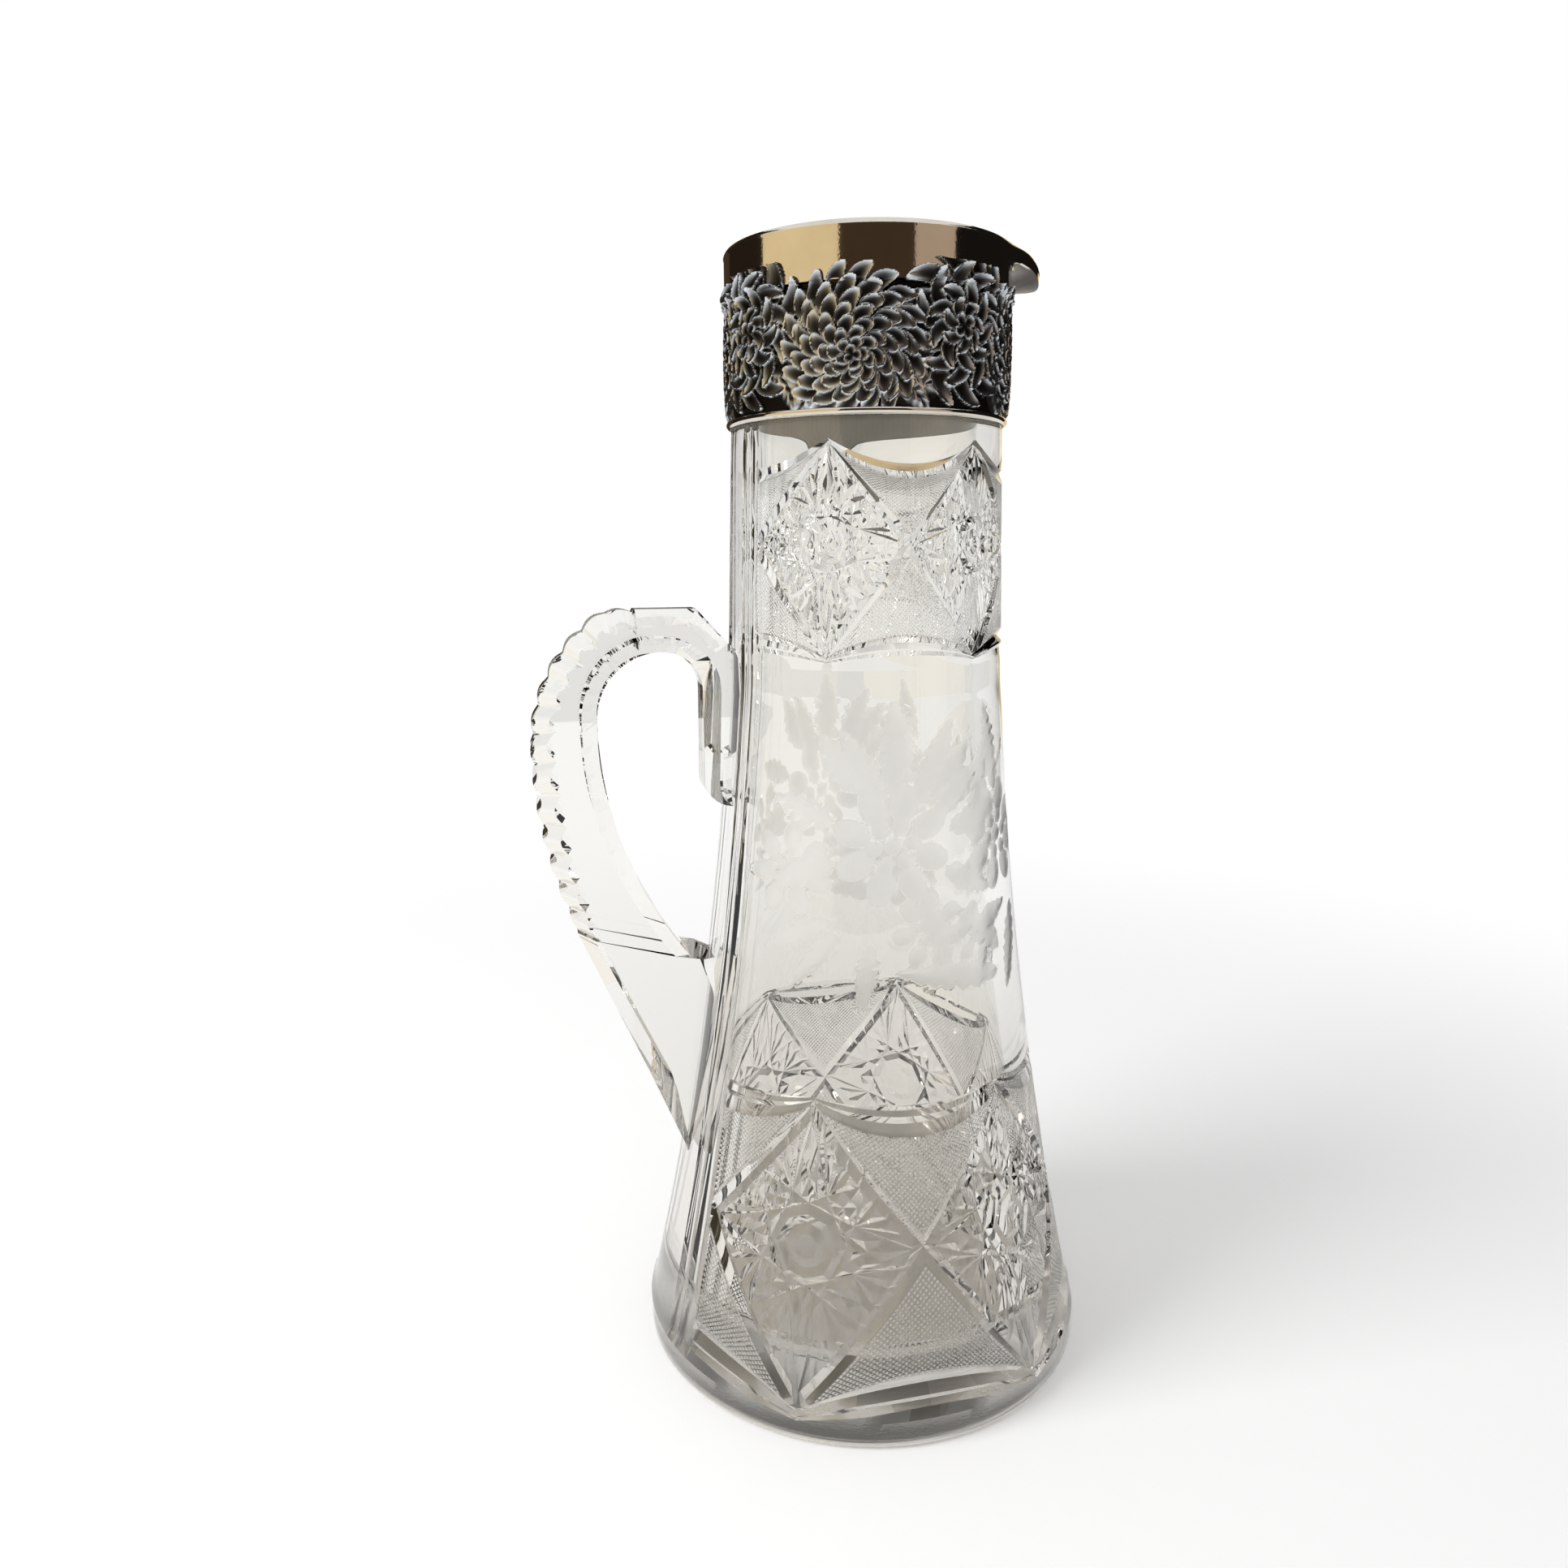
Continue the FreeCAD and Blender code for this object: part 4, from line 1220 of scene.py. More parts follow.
    def add_middle(self, skin: Skin, low: tuple[np.ndarray, np.ndarray],
                   high: tuple[np.ndarray, np.ndarray]) -> None:
        """Add the plain middle with its engraving and the flutes behind the handle.

        Args:
            skin: The glass skin.
            low: Heights and depths of the row below.
            high: Heights and depths of the row above.
        """
        share = np.linspace(0.0, 1.0, self.middle_rows)[:, None]
        heights = low[0] + (high[0] - low[0]) * share
        turn = np.broadcast_to(self.row()[0], heights.shape)
        flute = self.flute(turn)
        panel = self.inside_panel(turn) > WELD
        plain = low[1] * (1.0 - share) ** 8 + high[1] * smooth(0.85, 1.0, share)
        sprays = [Engraving(mirror).depth(self.profile, turn, heights) for mirror in (False, True)]
        clear = panel | (share < self.middle_margin) | (share > 1.0 - self.middle_margin)
        frost = np.where(clear, CLEAR, np.maximum(*sprays))
        engraved = self.engraved_cut * smooth(*self.engraved_slope, frost)
        depths = np.where(panel, flute, plain + engraved)
        depths[0], depths[-1] = low[1], high[1]
        self.add_rows(skin, self.profile.radius(heights) - depths, heights, frost)

    def add_inside(self, skin: Skin) -> None:
        """Add the seat under the collar, the bore, the cavity's wall and its floor.

        Args:
            skin: The glass skin.
        """
        profile, seat, top = self.profile, self.seat_radius, self.glass_top
        wall = np.linspace(profile.waist_height, self.floor + self.cavity_corner, self.wall_rows)
        bend = np.radians(np.linspace(0.0, -90.0, 7))[1:]
        corner = profile.flare(wall[-1], self.body_wall) - self.cavity_corner
        wide, low = self.bore_break
        bore = np.linspace(top - low, profile.waist_height, self.bore_rows)[:-1]
        taper = profile.waist_radius - self.body_wall - self.bore_radius
        share = np.linspace(0.0, 1.0, self.bore_rows)[:-1]
        line = np.concatenate([
            [(profile.neck_radius, profile.neck_height), (seat, profile.neck_height),
             (seat, top - self.edge_break), (seat - self.edge_break, top),
             (self.bore_radius + wide, top)],
            np.stack([self.bore_radius + taper * share, bore], axis=1),
            np.stack([profile.flare(wall, self.body_wall), wall], axis=1),
            np.stack([corner + self.cavity_corner * np.cos(bend),
                      self.floor + self.cavity_corner * (1.0 + np.sin(bend))], axis=1),
            [(radius, self.floor) for radius in self.floor_radii],
        ])
        shape = (len(line), len(self.row()[0]))
        radii, heights = (np.broadcast_to(line[:, [axis]], shape) for axis in (0, 1))
        self.add_rows(skin, radii, heights, CLEAR)

    def build(self, material: bpy.types.Material) -> bpy.types.Object:
        """Make the closed glass body.

        Args:
            material: The glass finish.

        Returns:
            The piece.
        """
        skin = Skin(self.frost_layer)
        edges = []
        for band in (LOWER_BAND, NECK_BAND):
            for patch in self.band_patches(band):
                radius = self.profile.radius(patch.height) - patch.depth
                skin.add(on_axis(patch.turn, radius, patch.height), patch.triangles, patch.value)
            for upper in (False, True):
                rows = self.border_rows(band, upper)
                if band is NECK_BAND and upper:
                    neck = np.full(len(rows[0][0]), self.profile.neck_height)
                    rows.append((neck, np.zeros(len(neck))))
                self.add_cut_rows(skin, rows)
                edges.append(rows[-1])
        self.add_foot(skin, edges[0])
        self.add_middle(skin, edges[1], edges[2])
        self.add_inside(skin)
        piece = skin.to_object("cut_glass_body", material, self.crease)
        settle(piece, Slot.GLASS, "glass_body")
        return piece


@dataclass
class GlassHandle:
    """The applied handle: a bevelled bar carried round the finger gap, notched along its back."""

    profile: GlassProfile
    half_width: float = 9.0
    bevel: float = 4.5
    sunk: float = 1.2
    top: float = 211.0
    back: float = 91.2
    notches: int = 13
    notch_depth: float = 1.1
    notch_spread: float = 1.3
    notch_start: int = 26
    pad_top: float = 165.1
    pad_foot: float = 158.6
    pad_curve: float = 6.5
    gap_front: float = -45.7
    gap_top: float = 189.4
    gap_crown: tuple[float, float] = (-56.06, 182.2)
    gap_back: float = 33.0
    bar_foot: tuple[float, float] = (-81.0, 124.9)
    tail_end: tuple[float, float] = (-52.2, 57.4)
    neck_side: tuple[tuple[float, float], ...] = ((-36.2, 188.0), (-36.6, 199.4))
    shoulder_start: float = -47.1
    back_height: float = 174.9
    shoulder_radius: float = 42.4
    back_radius: float = 127.65
    tail_narrowing: float = 0.35
    tail_bevel: float = 2.4
    least_bevel: float = 0.4
    bevel_share: float = 0.45
    crease: float = 14.0

    def against_glass(self, height: np.ndarray) -> np.ndarray:
        """Places just under the body's skin, as (x, z)."""
        return np.stack([-(self.profile.radius(height) - self.sunk), height], axis=1)

    @staticmethod
    def arc(centre: tuple[float, float], radius: float, start: float, end: float,
            count: int) -> np.ndarray:
        """Places on an arc in the handle's plane, from a start angle to an end angle."""
        angle = np.radians(np.linspace(start, end, count))
        return np.array(centre) + radius * np.stack([np.cos(angle), np.sin(angle)], axis=1)

    @staticmethod
    def line(places: Sequence[tuple[float, float]], count: int) -> np.ndarray:
        """Places spaced evenly along a run of straight lines.

        Args:
            places: Corners of the run.
            count: Number of places.

        Returns:
            The places.
        """
        corners = np.array(places)
        reach = np.append(0.0, np.cumsum(np.hypot(*np.diff(corners, axis=0).T)))
        want = np.linspace(0.0, reach[-1], count)
        return np.stack([np.interp(want, reach, corners[:, axis]) for axis in (0, 1)], axis=1)

    @staticmethod
    def evenly(places: np.ndarray, count: int) -> np.ndarray:
        """The same run of places, spaced evenly."""
        return GlassHandle.line([tuple(place) for place in places], count)

    def stations(self) -> tuple[np.ndarray, np.ndarray, np.ndarray, np.ndarray]:
        """Lines that the section is carried between, from the pad over the top to the tail.

        Returns:
            Outer line, inner line, and the share of a notch and of the tail at each station.
        """
        pad, crown, shoulder_top = self.pad_top, self.gap_crown, (self.shoulder_start, self.top)
        gap_side = [
            self.arc((self.gap_front + self.pad_curve, pad), self.pad_curve, -90.0, -180.0, 9),
            self.line([(self.gap_front, pad), (self.gap_front, self.gap_top)], 12),
            self.arc((crown[0], self.gap_top), 10.36, 0.0, 90.0, 14),
            self.arc(crown, 17.64, 90.0, 180.0, 110),
            self.arc((self.gap_back, crown[1]), 106.7, 180.0, 218.1, 110),
            self.against_glass(np.linspace(115.0, 60.0, 60)),
        ]
        curve = self.arc((-48.8, self.back_height), self.shoulder_radius, 121.6, 180.0, 60)
        back = (self.back_radius - self.back, self.back_height)
        outer_side = [
            self.against_glass(np.linspace(self.pad_foot, pad, 9)),
            self.against_glass(np.linspace(pad, self.neck_side[0][1], 12)),
            self.line([*self.neck_side, shoulder_top], 14),
            self.evenly(np.concatenate([[shoulder_top], curve]), 110),
            self.arc(back, self.back_radius, 180.0, 203.06, 110),
            self.line([self.bar_foot, self.tail_end], 60),
        ]
        outer, inner = np.concatenate(outer_side), np.concatenate(gap_side)
        counts = np.cumsum([len(part) for part in outer_side])
        reach = np.append(0.0, np.cumsum(np.hypot(*np.diff(outer, axis=0).T)))
        start, end = reach[counts[2] + self.notch_start], reach[counts[4] - 1]
        along = (reach - start) / (end - start) * self.notches
        valley = 1.0 - np.abs(np.sin(math.pi * along))
        notch = np.where((along > 0.0) & (along < self.notches), valley, 0.0)
        tail = np.clip((reach - end) / (reach[-1] - end), 0.0, 1.0)
        return outer, inner, notch, tail

    def build(self, material: bpy.types.Material, layer: str) -> bpy.types.Object:
        """Make the handle: a twelve-sided section carried between its two lines.

        Args:
            material: The glass finish.
            layer: Name of the frost layer that the finish reads.

        Returns:
            The piece.
        """
        outer, inner, notch, tail = self.stations()
        thick = np.hypot(*(outer - inner).T)
        half = self.half_width * (1.0 - self.tail_narrowing * tail ** 2)
        sunk_side = np.abs(outer[:, 0]) < self.profile.waist_radius
        least, most = self.least_bevel, thick * self.bevel_share
        wanted = self.bevel + self.notch_spread * notch + self.tail_bevel * tail
        outer_bevel = np.where(sunk_side, least, wanted)
        outer_bevel = np.minimum(outer_bevel, np.minimum(half - least, most))
        fading = 1.0 - smooth(0.0, 0.2, tail)
        inner_bevel = np.minimum(least + (self.bevel - least) * fading, most)
        crest = thick - self.notch_depth * notch
        flat, zero = half - outer_bevel, np.zeros(len(thick))
        middle = (crest - outer_bevel + inner_bevel) / 2.0
        side = [(flat, crest), (half, crest - outer_bevel), (half, middle),
                (half, inner_bevel), (half - inner_bevel, zero)]
        far_side = [(-across, up) for across, up in reversed(side)]
        ring = [(zero, crest), *side, (zero, zero), *far_side, (zero, crest)]
        across = np.stack([item[0] for item in ring], axis=1)
        up = np.stack([item[1] for item in ring], axis=1)
        way = (outer - inner) / np.maximum(thick, 1e-6)[:, None]
        x = inner[:, :1] + way[:, :1] * up
        z = inner[:, 1:] + way[:, 1:] * up
        points = np.stack([x.ravel(), across.ravel(), z.ravel()], axis=1)
        skin = Skin(layer)
        rows, columns = across.shape
        skin.add(points, grid_triangles(rows, columns), CLEAR)
        for row in (0, rows - 1):
            cap = points[row * columns:(row + 1) * columns]
            fan = np.arange(columns - 1)
            hub = np.full(columns - 1, columns)
            triangles = np.stack([fan, fan + 1, hub], axis=1)
            skin.add(np.vstack([cap, cap[:-1].mean(axis=0)]), triangles, CLEAR)
        piece = skin.to_object("notched_glass_handle", material, self.crease)
        settle(piece, Slot.GLASS, "glass_handle")
        return piece


@dataclass
class ChasedCollar:
    """The silver band round the neck, raised into chrysanthemums and leaves.

    Attributes:
        blossom_rings: Petals, start, end, fill and rise of each ring, from the heart outwards.
        spider_rings: Petals, start, end, fill, twist and rise of each ring, from the edge inwards.
        leaves: Turn and height of the stalk, lean, length and half width, once for each pair of
            flowers.
    """

    ground_radius: float = 36.1
    inner_radius: float = 35.3
    foot: float = 257.0
    top: float = 287.0
    crest: float = 292.0
    pairs: int = 4
    first_turn: float = -111.5
    columns: int = 800
    rows: int = 120
    finer: int = 3
    wire_radius: float = 36.15
    wire_bulge: float = 0.8
    wire_height: float = 2.0
    wire_sunk: float = 0.3
    wire_columns: int = 241
    wire_rows: int = 11
    wire_tone: float = 3.0
    blossom_place: tuple[float, float] = (0.0, 273.0)
    blossom_size: float = 0.98
    blossom_rings: tuple[tuple[int, float, float, float, float], ...] = (
        (3, 0.0, 2.2, 1.0, 0.8), (5, 0.4, 4.0, 0.97, 0.8), (7, 1.6, 6.0, 0.97, 0.8),
        (9, 3.2, 8.2, 0.97, 0.8), (11, 5.0, 10.6, 0.97, 0.85), (13, 7.0, 13.2, 0.96, 0.95),
        (15, 9.4, 15.8, 0.94, 1.05), (18, 11.8, 18.6, 0.9, 1.1))
    heart_drop: float = 3.0
    spider_place: tuple[float, float] = (44.0, 277.5)
    spider_size: float = 1.02
    spider_rings: tuple[tuple[int, float, float, float, float, float], ...] = (
        (13, 9.0, 18.4, 0.85, -0.4, 1.3), (11, 5.6, 14.2, 0.85, 0.5, 1.4),
        (9, 3.0, 10.4, 0.9, -0.5, 1.4), (7, 1.2, 6.6, 0.92, 0.5, 1.4),
        (4, 0.0, 3.2, 0.95, 0.2, 1.1))
    leaves: tuple[tuple[float, float, float, float, float], ...] = (
        (-14.0, 268.0, 238.0, 15.0, 4.2), (-18.0, 277.0, 170.0, 14.0, 3.6),
        (13.0, 266.0, 318.0, 14.0, 4.4), (20.0, 262.0, 8.0, 16.0, 3.4),
        (58.0, 268.0, 300.0, 12.0, 3.6), (62.0, 284.0, 330.0, 13.0, 3.2),
        (30.0, 285.0, 200.0, 12.0, 2.8))
    leaf_tone: float = 0.45
    flower_lean: float = 0.5
    crease: float = 50.0
    wire_crease: float = 40.0
    relief_layer: str = "relief"

    @staticmethod
    def petal_ring(radius: np.ndarray, angle: np.ndarray, count: int, inner: float, outer: float,
                   fill: float, twist: float, straight: float = 0.45) -> np.ndarray:
        """Ring of round-ended petals, each a spoon with a raised edge that rises to its tip.

        Height is (0.3 + 0.7 d^2.5) (0.35 + 0.65 s^0.7), for a distance d that is 0 on the petal's
        middle line and 1 on its outline, and a share s of the way along the petal.

        Args:
            radius: Distance from the flower's centre.
            angle: Angle about it.
            count: Number of petals.
            inner: Distance at which the petals start.
            outer: Distance at which they end.
            fill: Share of the room between neighbours that a petal takes.
            twist: Angle by which a petal curls sideways along its length.
            straight: Share of the length after which the round end begins.

        Returns:
            Height between 0 and 1.
        """
        share = np.clip((radius - inner) / (outer - inner), 0.0, 1.0)
        turn = (angle + twist * share ** 2) * count / (2.0 * math.pi)
        room = math.pi * radius / count
        off = np.abs(saw(turn) - 0.5) * 2.0 * room
        ending = np.maximum(share - straight, 0.0) / (1.0 - straight)
        out = np.hypot(off / (room * fill + 1e-6), ending)
        spoon = 0.3 + 0.7 * np.minimum(out, 1.0) ** 2.5
        inside = (radius > inner) & (radius < outer) & (out < 1.0)
        return np.where(inside, spoon * (0.35 + 0.65 * share ** 0.7), 0.0)

    def blossom(self, x: np.ndarray, y: np.ndarray, size: float, phase: float) -> np.ndarray:
        """Incurved chrysanthemum: rings of petals that lap like scales over a ball.

        Args:
            x: Distances across from the flower's centre.
            y: Distances up from it; the heart is set below it.
            size: Scale of the flower.
            phase: Angle by which the flower is turned.

        Returns:
            Relief, and the height within each petal.
        """
        dome = np.hypot(x, y) / size
        height = 1.3 * np.sqrt(np.maximum(1.0 - (dome / 14.0) ** 2, 0.0))
        edge = self.blossom_rings[-1][2]
        best = np.zeros((2, *x.shape))
        for count, inner, outer, fill, rise in reversed(self.blossom_rings):
            low = y + self.heart_drop * (1.0 - outer / edge)
            radius, angle = np.hypot(x, low) / size, np.arctan2(low, x) + phase
            petals = self.petal_ring(radius, angle + 0.37 * count, count, inner, outer, fill, 0.2)
            best = np.where(petals > 0.0, np.stack([petals * rise + height * 0.75, petals]), best)
        return best

    def spider(self, x: np.ndarray, y: np.ndarray, size: float, phase: float) -> np.ndarray:
        """Open chrysanthemum with long thin curling petals.

        Args:
            x: Distances across from the centre.
            y: Distances up from it.
            size: Scale of the flower.
            phase: Angle by which it is turned.

        Returns:
            Relief, and the height within each petal.
        """
        radius, angle = np.hypot(x, y) / size, np.arctan2(y, x) + phase
        core = 1.3 * np.sqrt(np.maximum(1.0 - (radius / 5.0) ** 2, 0.0))
        best = np.zeros((2, *x.shape))
        for count, inner, outer, fill, twist, rise in self.spider_rings:
            petals = self.petal_ring(radius, angle, count, inner, outer, fill, twist)
            best = np.where(petals > 0.0, np.stack([petals * rise + core * 0.5, petals]), best)
        return best

    def leaf(self, x: np.ndarray, y: np.ndarray, angle: float, length: float,
             width: float) -> np.ndarray:
        """Curved leaf: a rounded blade with a cut middle vein and slanting side veins.

        Args:
            x: Distances across from the stalk.
            y: Distances up from it.
            angle: Lean of the leaf in degrees.
            length: Length of the leaf.
            width: Half its width.

        Returns:
            Relief, and the tone that goes with it.
        """
        lean = math.radians(angle)
        along = x * math.cos(lean) + y * math.sin(lean)
        share = np.clip(along / length, 0.0, 1.0)
        aside = -x * math.sin(lean) + y * math.cos(lean) - 1.6 * np.sin(math.pi * share)
        half = width * np.sin(math.pi * share ** 0.8) ** 0.8 + 1e-6
        blade = np.sqrt(np.maximum(1.0 - (aside / half) ** 2, 0.0))
        vein = 0.45 * np.exp(-(aside / 0.35) ** 2)
        ribs = 0.1 * np.cos((along - np.abs(aside) * 0.9) * 2.6)
        rise = np.where((share > 0.0) & (share < 1.0), blade * (1.15 + ribs - vein), 0.0)
        return np.stack([rise, rise - self.leaf_tone])

    def relief(self, turn: np.ndarray, height: np.ndarray) -> np.ndarray:
        """Chasing over the ground: at each point the highest leaf, and the flowers over the leaves.

        Args:
            turn: Turns of the points.
            height: Heights of the points.

        Returns:
            Relief in millimetres, and how far each point stands up within its own petal or leaf.
        """
        ground = 0.12 * np.abs(np.sin(turn * 5.1) * np.sin(height * 4.3))
        best = np.stack([ground, ground])
        flowers: list[np.ndarray] = []
        for pair in range(self.pairs):
            start = self.first_turn + 360.0 / self.pairs * pair
            lean = self.flower_lean * pair

            def flat(at: float, level: float) -> tuple[np.ndarray, np.ndarray]:
                """Distances across and up from a place on the band."""
                across = np.radians(wrapped(turn - start - at)) * self.ground_radius
                return across, height - level

            for at, level, angle, length, width in self.leaves:
                leaf = self.leaf(*flat(at, level), angle, length, width)
                best = np.where(leaf[0] > best[0], leaf, best)
            flowers += [self.spider(*flat(*self.spider_place), self.spider_size, lean),
                        self.blossom(*flat(*self.blossom_place), self.blossom_size, lean)]
        for flower in flowers[::2] + flowers[1::2]:
            best = np.where(flower[1] > 0.0, flower, best)
        return best

    def softened(self, turn: np.ndarray, height: np.ndarray) -> np.ndarray:
        """Relief of the grid's points, each the mean over the finer points of its own cell.

        Args:
            turn: Turns of the points.
            height: Heights of the points.

        Returns:
            Relief and tone of each point.
        """
        steps = (np.arange(self.finer) + 0.5) / self.finer - 0.5
        shift, lift = 360.0 / self.columns, (self.crest - self.foot) / (self.rows - 1)
        places = [np.broadcast_arrays(turn + shift * across, height + lift * up)
                  for across in steps for up in steps]
        return np.mean([self.relief(turns, heights) for turns, heights in places], axis=0)

    def build(self, material: bpy.types.Material) -> bpy.types.Object:
        """Make the chased band: a closed shell whose outside is the ground plus the relief.

        Args:
            material: The chased silver finish.

        Returns:
            The piece.
        """
        turn = np.linspace(-180.0, 180.0, self.columns + 1)[None, :]
        height = np.linspace(self.foot, self.crest, self.rows)[:, None]
        heights = np.broadcast_to(height, (self.rows, self.columns + 1))
        lifted = 1.0 + 0.5 * smooth(self.top - 4.0, self.top + 1.0, heights)
        relief, tone = self.softened(turn, height)
        relief = relief * smooth(self.foot, self.foot + 3.2, heights) * lifted
        over = smooth(self.top - 0.4, self.top + 0.4, heights)
        radius = self.ground_radius + relief + over * np.where(relief > 0.3, 0.6, -0.9)
        inside = np.full((2, self.columns + 1), self.inner_radius - 0.6)
        radius = np.concatenate([radius, inside])
        heights = np.concatenate([heights, np.full((1, self.columns + 1), self.crest),
                                  np.full((1, self.columns + 1), self.foot)])
        tone = np.concatenate([tone, np.zeros((2, self.columns + 1))])
        radius[-1] = self.inner_radius
        skin = Skin(self.relief_layer)
        rows, columns = radius.shape
        triangles = grid_triangles(rows, columns, ring=True)
        skin.add(on_axis(turn, radius, heights), triangles, tone.ravel())
        piece = skin.to_object("chased_collar", material, self.crease)
        settle(piece, Slot.SILVER, "collar_band")
        return piece

    def build_wire(self, material: bpy.types.Material) -> bpy.types.Object:
        """Make the half-round wire at the collar's foot: a half ellipse carried round the axis.

        Args:
            material: The polished silver finish.

        Returns:
            The piece.
        """
        angle = np.radians(np.linspace(-90.0, 90.0, self.wire_rows))[:, None]
        turn = np.linspace(-180.0, 180.0, self.wire_columns)[None, :]
        bulge = (self.wire_bulge + self.wire_sunk) * np.cos(angle)
        radius = self.wire_radius - self.wire_sunk + bulge
        height = self.foot + self.wire_height / 2.0 * (1.0 + np.sin(angle))
        skin = Skin(self.relief_layer)
        triangles = grid_triangles(self.wire_rows, self.wire_columns, ring=True)
        skin.add(on_axis(turn, radius, height), triangles, self.wire_tone)
        piece = skin.to_object("collar_foot_wire", material, self.wire_crease)
        settle(piece, Slot.SILVER, "foot_wire")
        return piece


@dataclass
class PolishedMouth:
    """The plain silver rim, its stiffened edge, the mouth's top and the drawn pouring lip."""

    foot_radius: float = 37.0
    rim_radius: float = 37.05
    bore_radius: float = 27.85
    foot: float = 287.0
    top: float = 300.0
    gauge: float = 0.9
    lip_reach: float = 9.9
    lip_turn: float = 20.0
    dip: float = 4.0
    dip_turn: float = 11.0
    lip_floor: tuple[float, float] = (0.62, 0.76)
    columns: int = 480
    wall_rows: int = 34
    edge_drop: float = 0.5
    edge_rounding: tuple[tuple[float, float], ...] = ((0.25, 0.1), (0.6, 0.0))
    bead: float = 0.15
    bead_share: float = 0.97
    bead_width: float = 0.02
    top_rows: int = 12
    bore_edge: float = 0.5
    bore_steps: tuple[tuple[float, float], ...] = ((0.1, 0.25), (0.0, 1.4), (0.7, 1.4), (0.9, 0.9))
    inner_reach: float = 0.92
    inner_rows: int = 8
    polish_tone: float = 3.0
    # tone that paints shade on the outside where it turns under the lip
    under_lip_shade_tone: float = 0.4
    crease: float = 35.0

    def profile(self, turn: np.ndarray) -> tuple[np.ndarray, np.ndarray]:
        """Closed section of the sheet at each turn, as radii and heights, a row for each step of it.

        The rim's edge is carried outwards by reach exp(-(t / w)^2) and down by
        dip exp(-(t / d)^2), for a turn t from the lip. The top eases from the edge up to the bore.

        Args:
            turn: Turns of the columns.

        Returns:
            Radii and heights.
        """
        away = np.abs(wrapped(turn))
        reach = self.lip_reach * np.exp(-(away / self.lip_turn) ** 2)
        edge = self.top - self.dip * np.exp(-(away / self.dip_turn) ** 2)
        rows: list[tuple[np.ndarray, np.ndarray]] = []
        wall = edge - self.edge_drop - self.foot
        for share in np.linspace(0.0, 1.0, self.wall_rows):
            step = (self.rim_radius - self.foot_radius) * smooth(0.0, 0.1, share)
            flare = reach * smooth(*self.lip_floor, share)
            bead = self.bead * math.exp(-((share - self.bead_share) / self.bead_width) ** 2)
            rows.append((self.foot_radius + step + flare + bead, self.foot + wall * share))
        outer = self.rim_radius + reach
        rows += [(outer - inwards, edge - drop) for inwards, drop in self.edge_rounding]
        start, level = rows[-1][0], np.full(turn.shape, self.top)
        for share in np.linspace(0.08, 1.0, self.top_rows):
            radius = start + (self.bore_radius + self.bore_edge - start) * share
            rows.append((radius, edge + (level - edge) * smooth(0.0, 0.5, share)))
        rows += [(self.bore_radius + beyond, level - drop) for beyond, drop in self.bore_steps]
        inner = self.rim_radius - self.gauge
        rows.append((inner + reach * self.inner_reach, edge - self.gauge))
        for share in np.linspace(0.85, 0.0, self.inner_rows):
            lift = self.gauge * smooth(0.0, self.lip_floor[0], share)
            radius = self.foot_radius - self.gauge + reach * smooth(*self.lip_floor, share)
            rows.append((radius, self.foot + wall * share + lift))
        radii = np.stack([row[0] + 0.0 * turn for row in rows])
        return radii, np.stack([row[1] for row in rows])

    def tone(self, radii: np.ndarray) -> np.ndarray:
        """Polish and tone of the sheet: high all over, and low where its outside turns under the lip,
        as painted shade.

        Args:
            radii: Radii of the sheet, a row for each step of its section.

        Returns:
            The tone of each point.
        """
        outside = radii[:self.wall_rows]
        turned = np.zeros(radii.shape)
        turned[:self.wall_rows] = smooth(0.1, 0.4, np.abs(np.gradient(outside, axis=0)))
        # painted shade: the outside is darkened where it turns under the lip
        return self.polish_tone - (self.polish_tone - self.under_lip_shade_tone) * turned

    def build(self, material: bpy.types.Material, layer: str) -> bpy.types.Object:
        """Make the rim and lip as one closed sheet.

        Args:
            material: The polished silver finish.
            layer: Name of the relief layer that the finish reads.

        Returns:
            The piece.
        """
        turn = np.linspace(-180.0, 180.0, self.columns + 1)
        radii, heights = self.profile(turn)
        skin = Skin(layer)
        rows, columns = radii.shape
        triangles = grid_triangles(rows, columns, ring=True)
        skin.add(on_axis(turn[None, :], radii, heights), triangles, self.tone(radii).ravel())
        piece = skin.to_object("polished_rim_and_lip", material, self.crease)
        settle(piece, Slot.SILVER, "rim_band", "rim_wire", "mouth_plate", "pouring_lip")
        return piece


@dataclass(frozen=True)
class Viewpoint:
    """Camera at the photograph's viewing angle: place in metres, angles in radians."""

    place: tuple[float, float, float] = (-0.0912, -0.3079, 0.22508)
    pitch: float = 0.1970
    heading: float = 0.21858
    roll: float = -0.0061
    lens: float = 26.58
    sensor: float = 36.0
    clip: float = 0.01

    def build(self) -> None:
        """Make the camera: turned by heading about Z, pitched down and rolled about its own axis."""
        data = bpy.data.cameras.new("viewpoint")
        data.lens = self.lens
        data.sensor_width = self.sensor
        data.clip_start = self.clip
        camera = link(bpy.data.objects.new("viewpoint", data))
        heading = Matrix.Rotation(-self.heading, 4, "Z")
        turn = heading @ Matrix.Rotation(math.pi / 2 - self.pitch, 4, "X")
        roll = Matrix.Rotation(self.roll, 4, "Z")
        camera.matrix_world = Matrix.Translation(self.place) @ turn @ roll
        bpy.context.scene.camera = camera


CREAM, BEIGE, BROWN = (0.95, 0.76, 0.46), (0.52, 0.40, 0.31), (0.06, 0.038, 0.022)
DARK, BLACK = (0.022, 0.015, 0.010), (0.010, 0.008, 0.007)


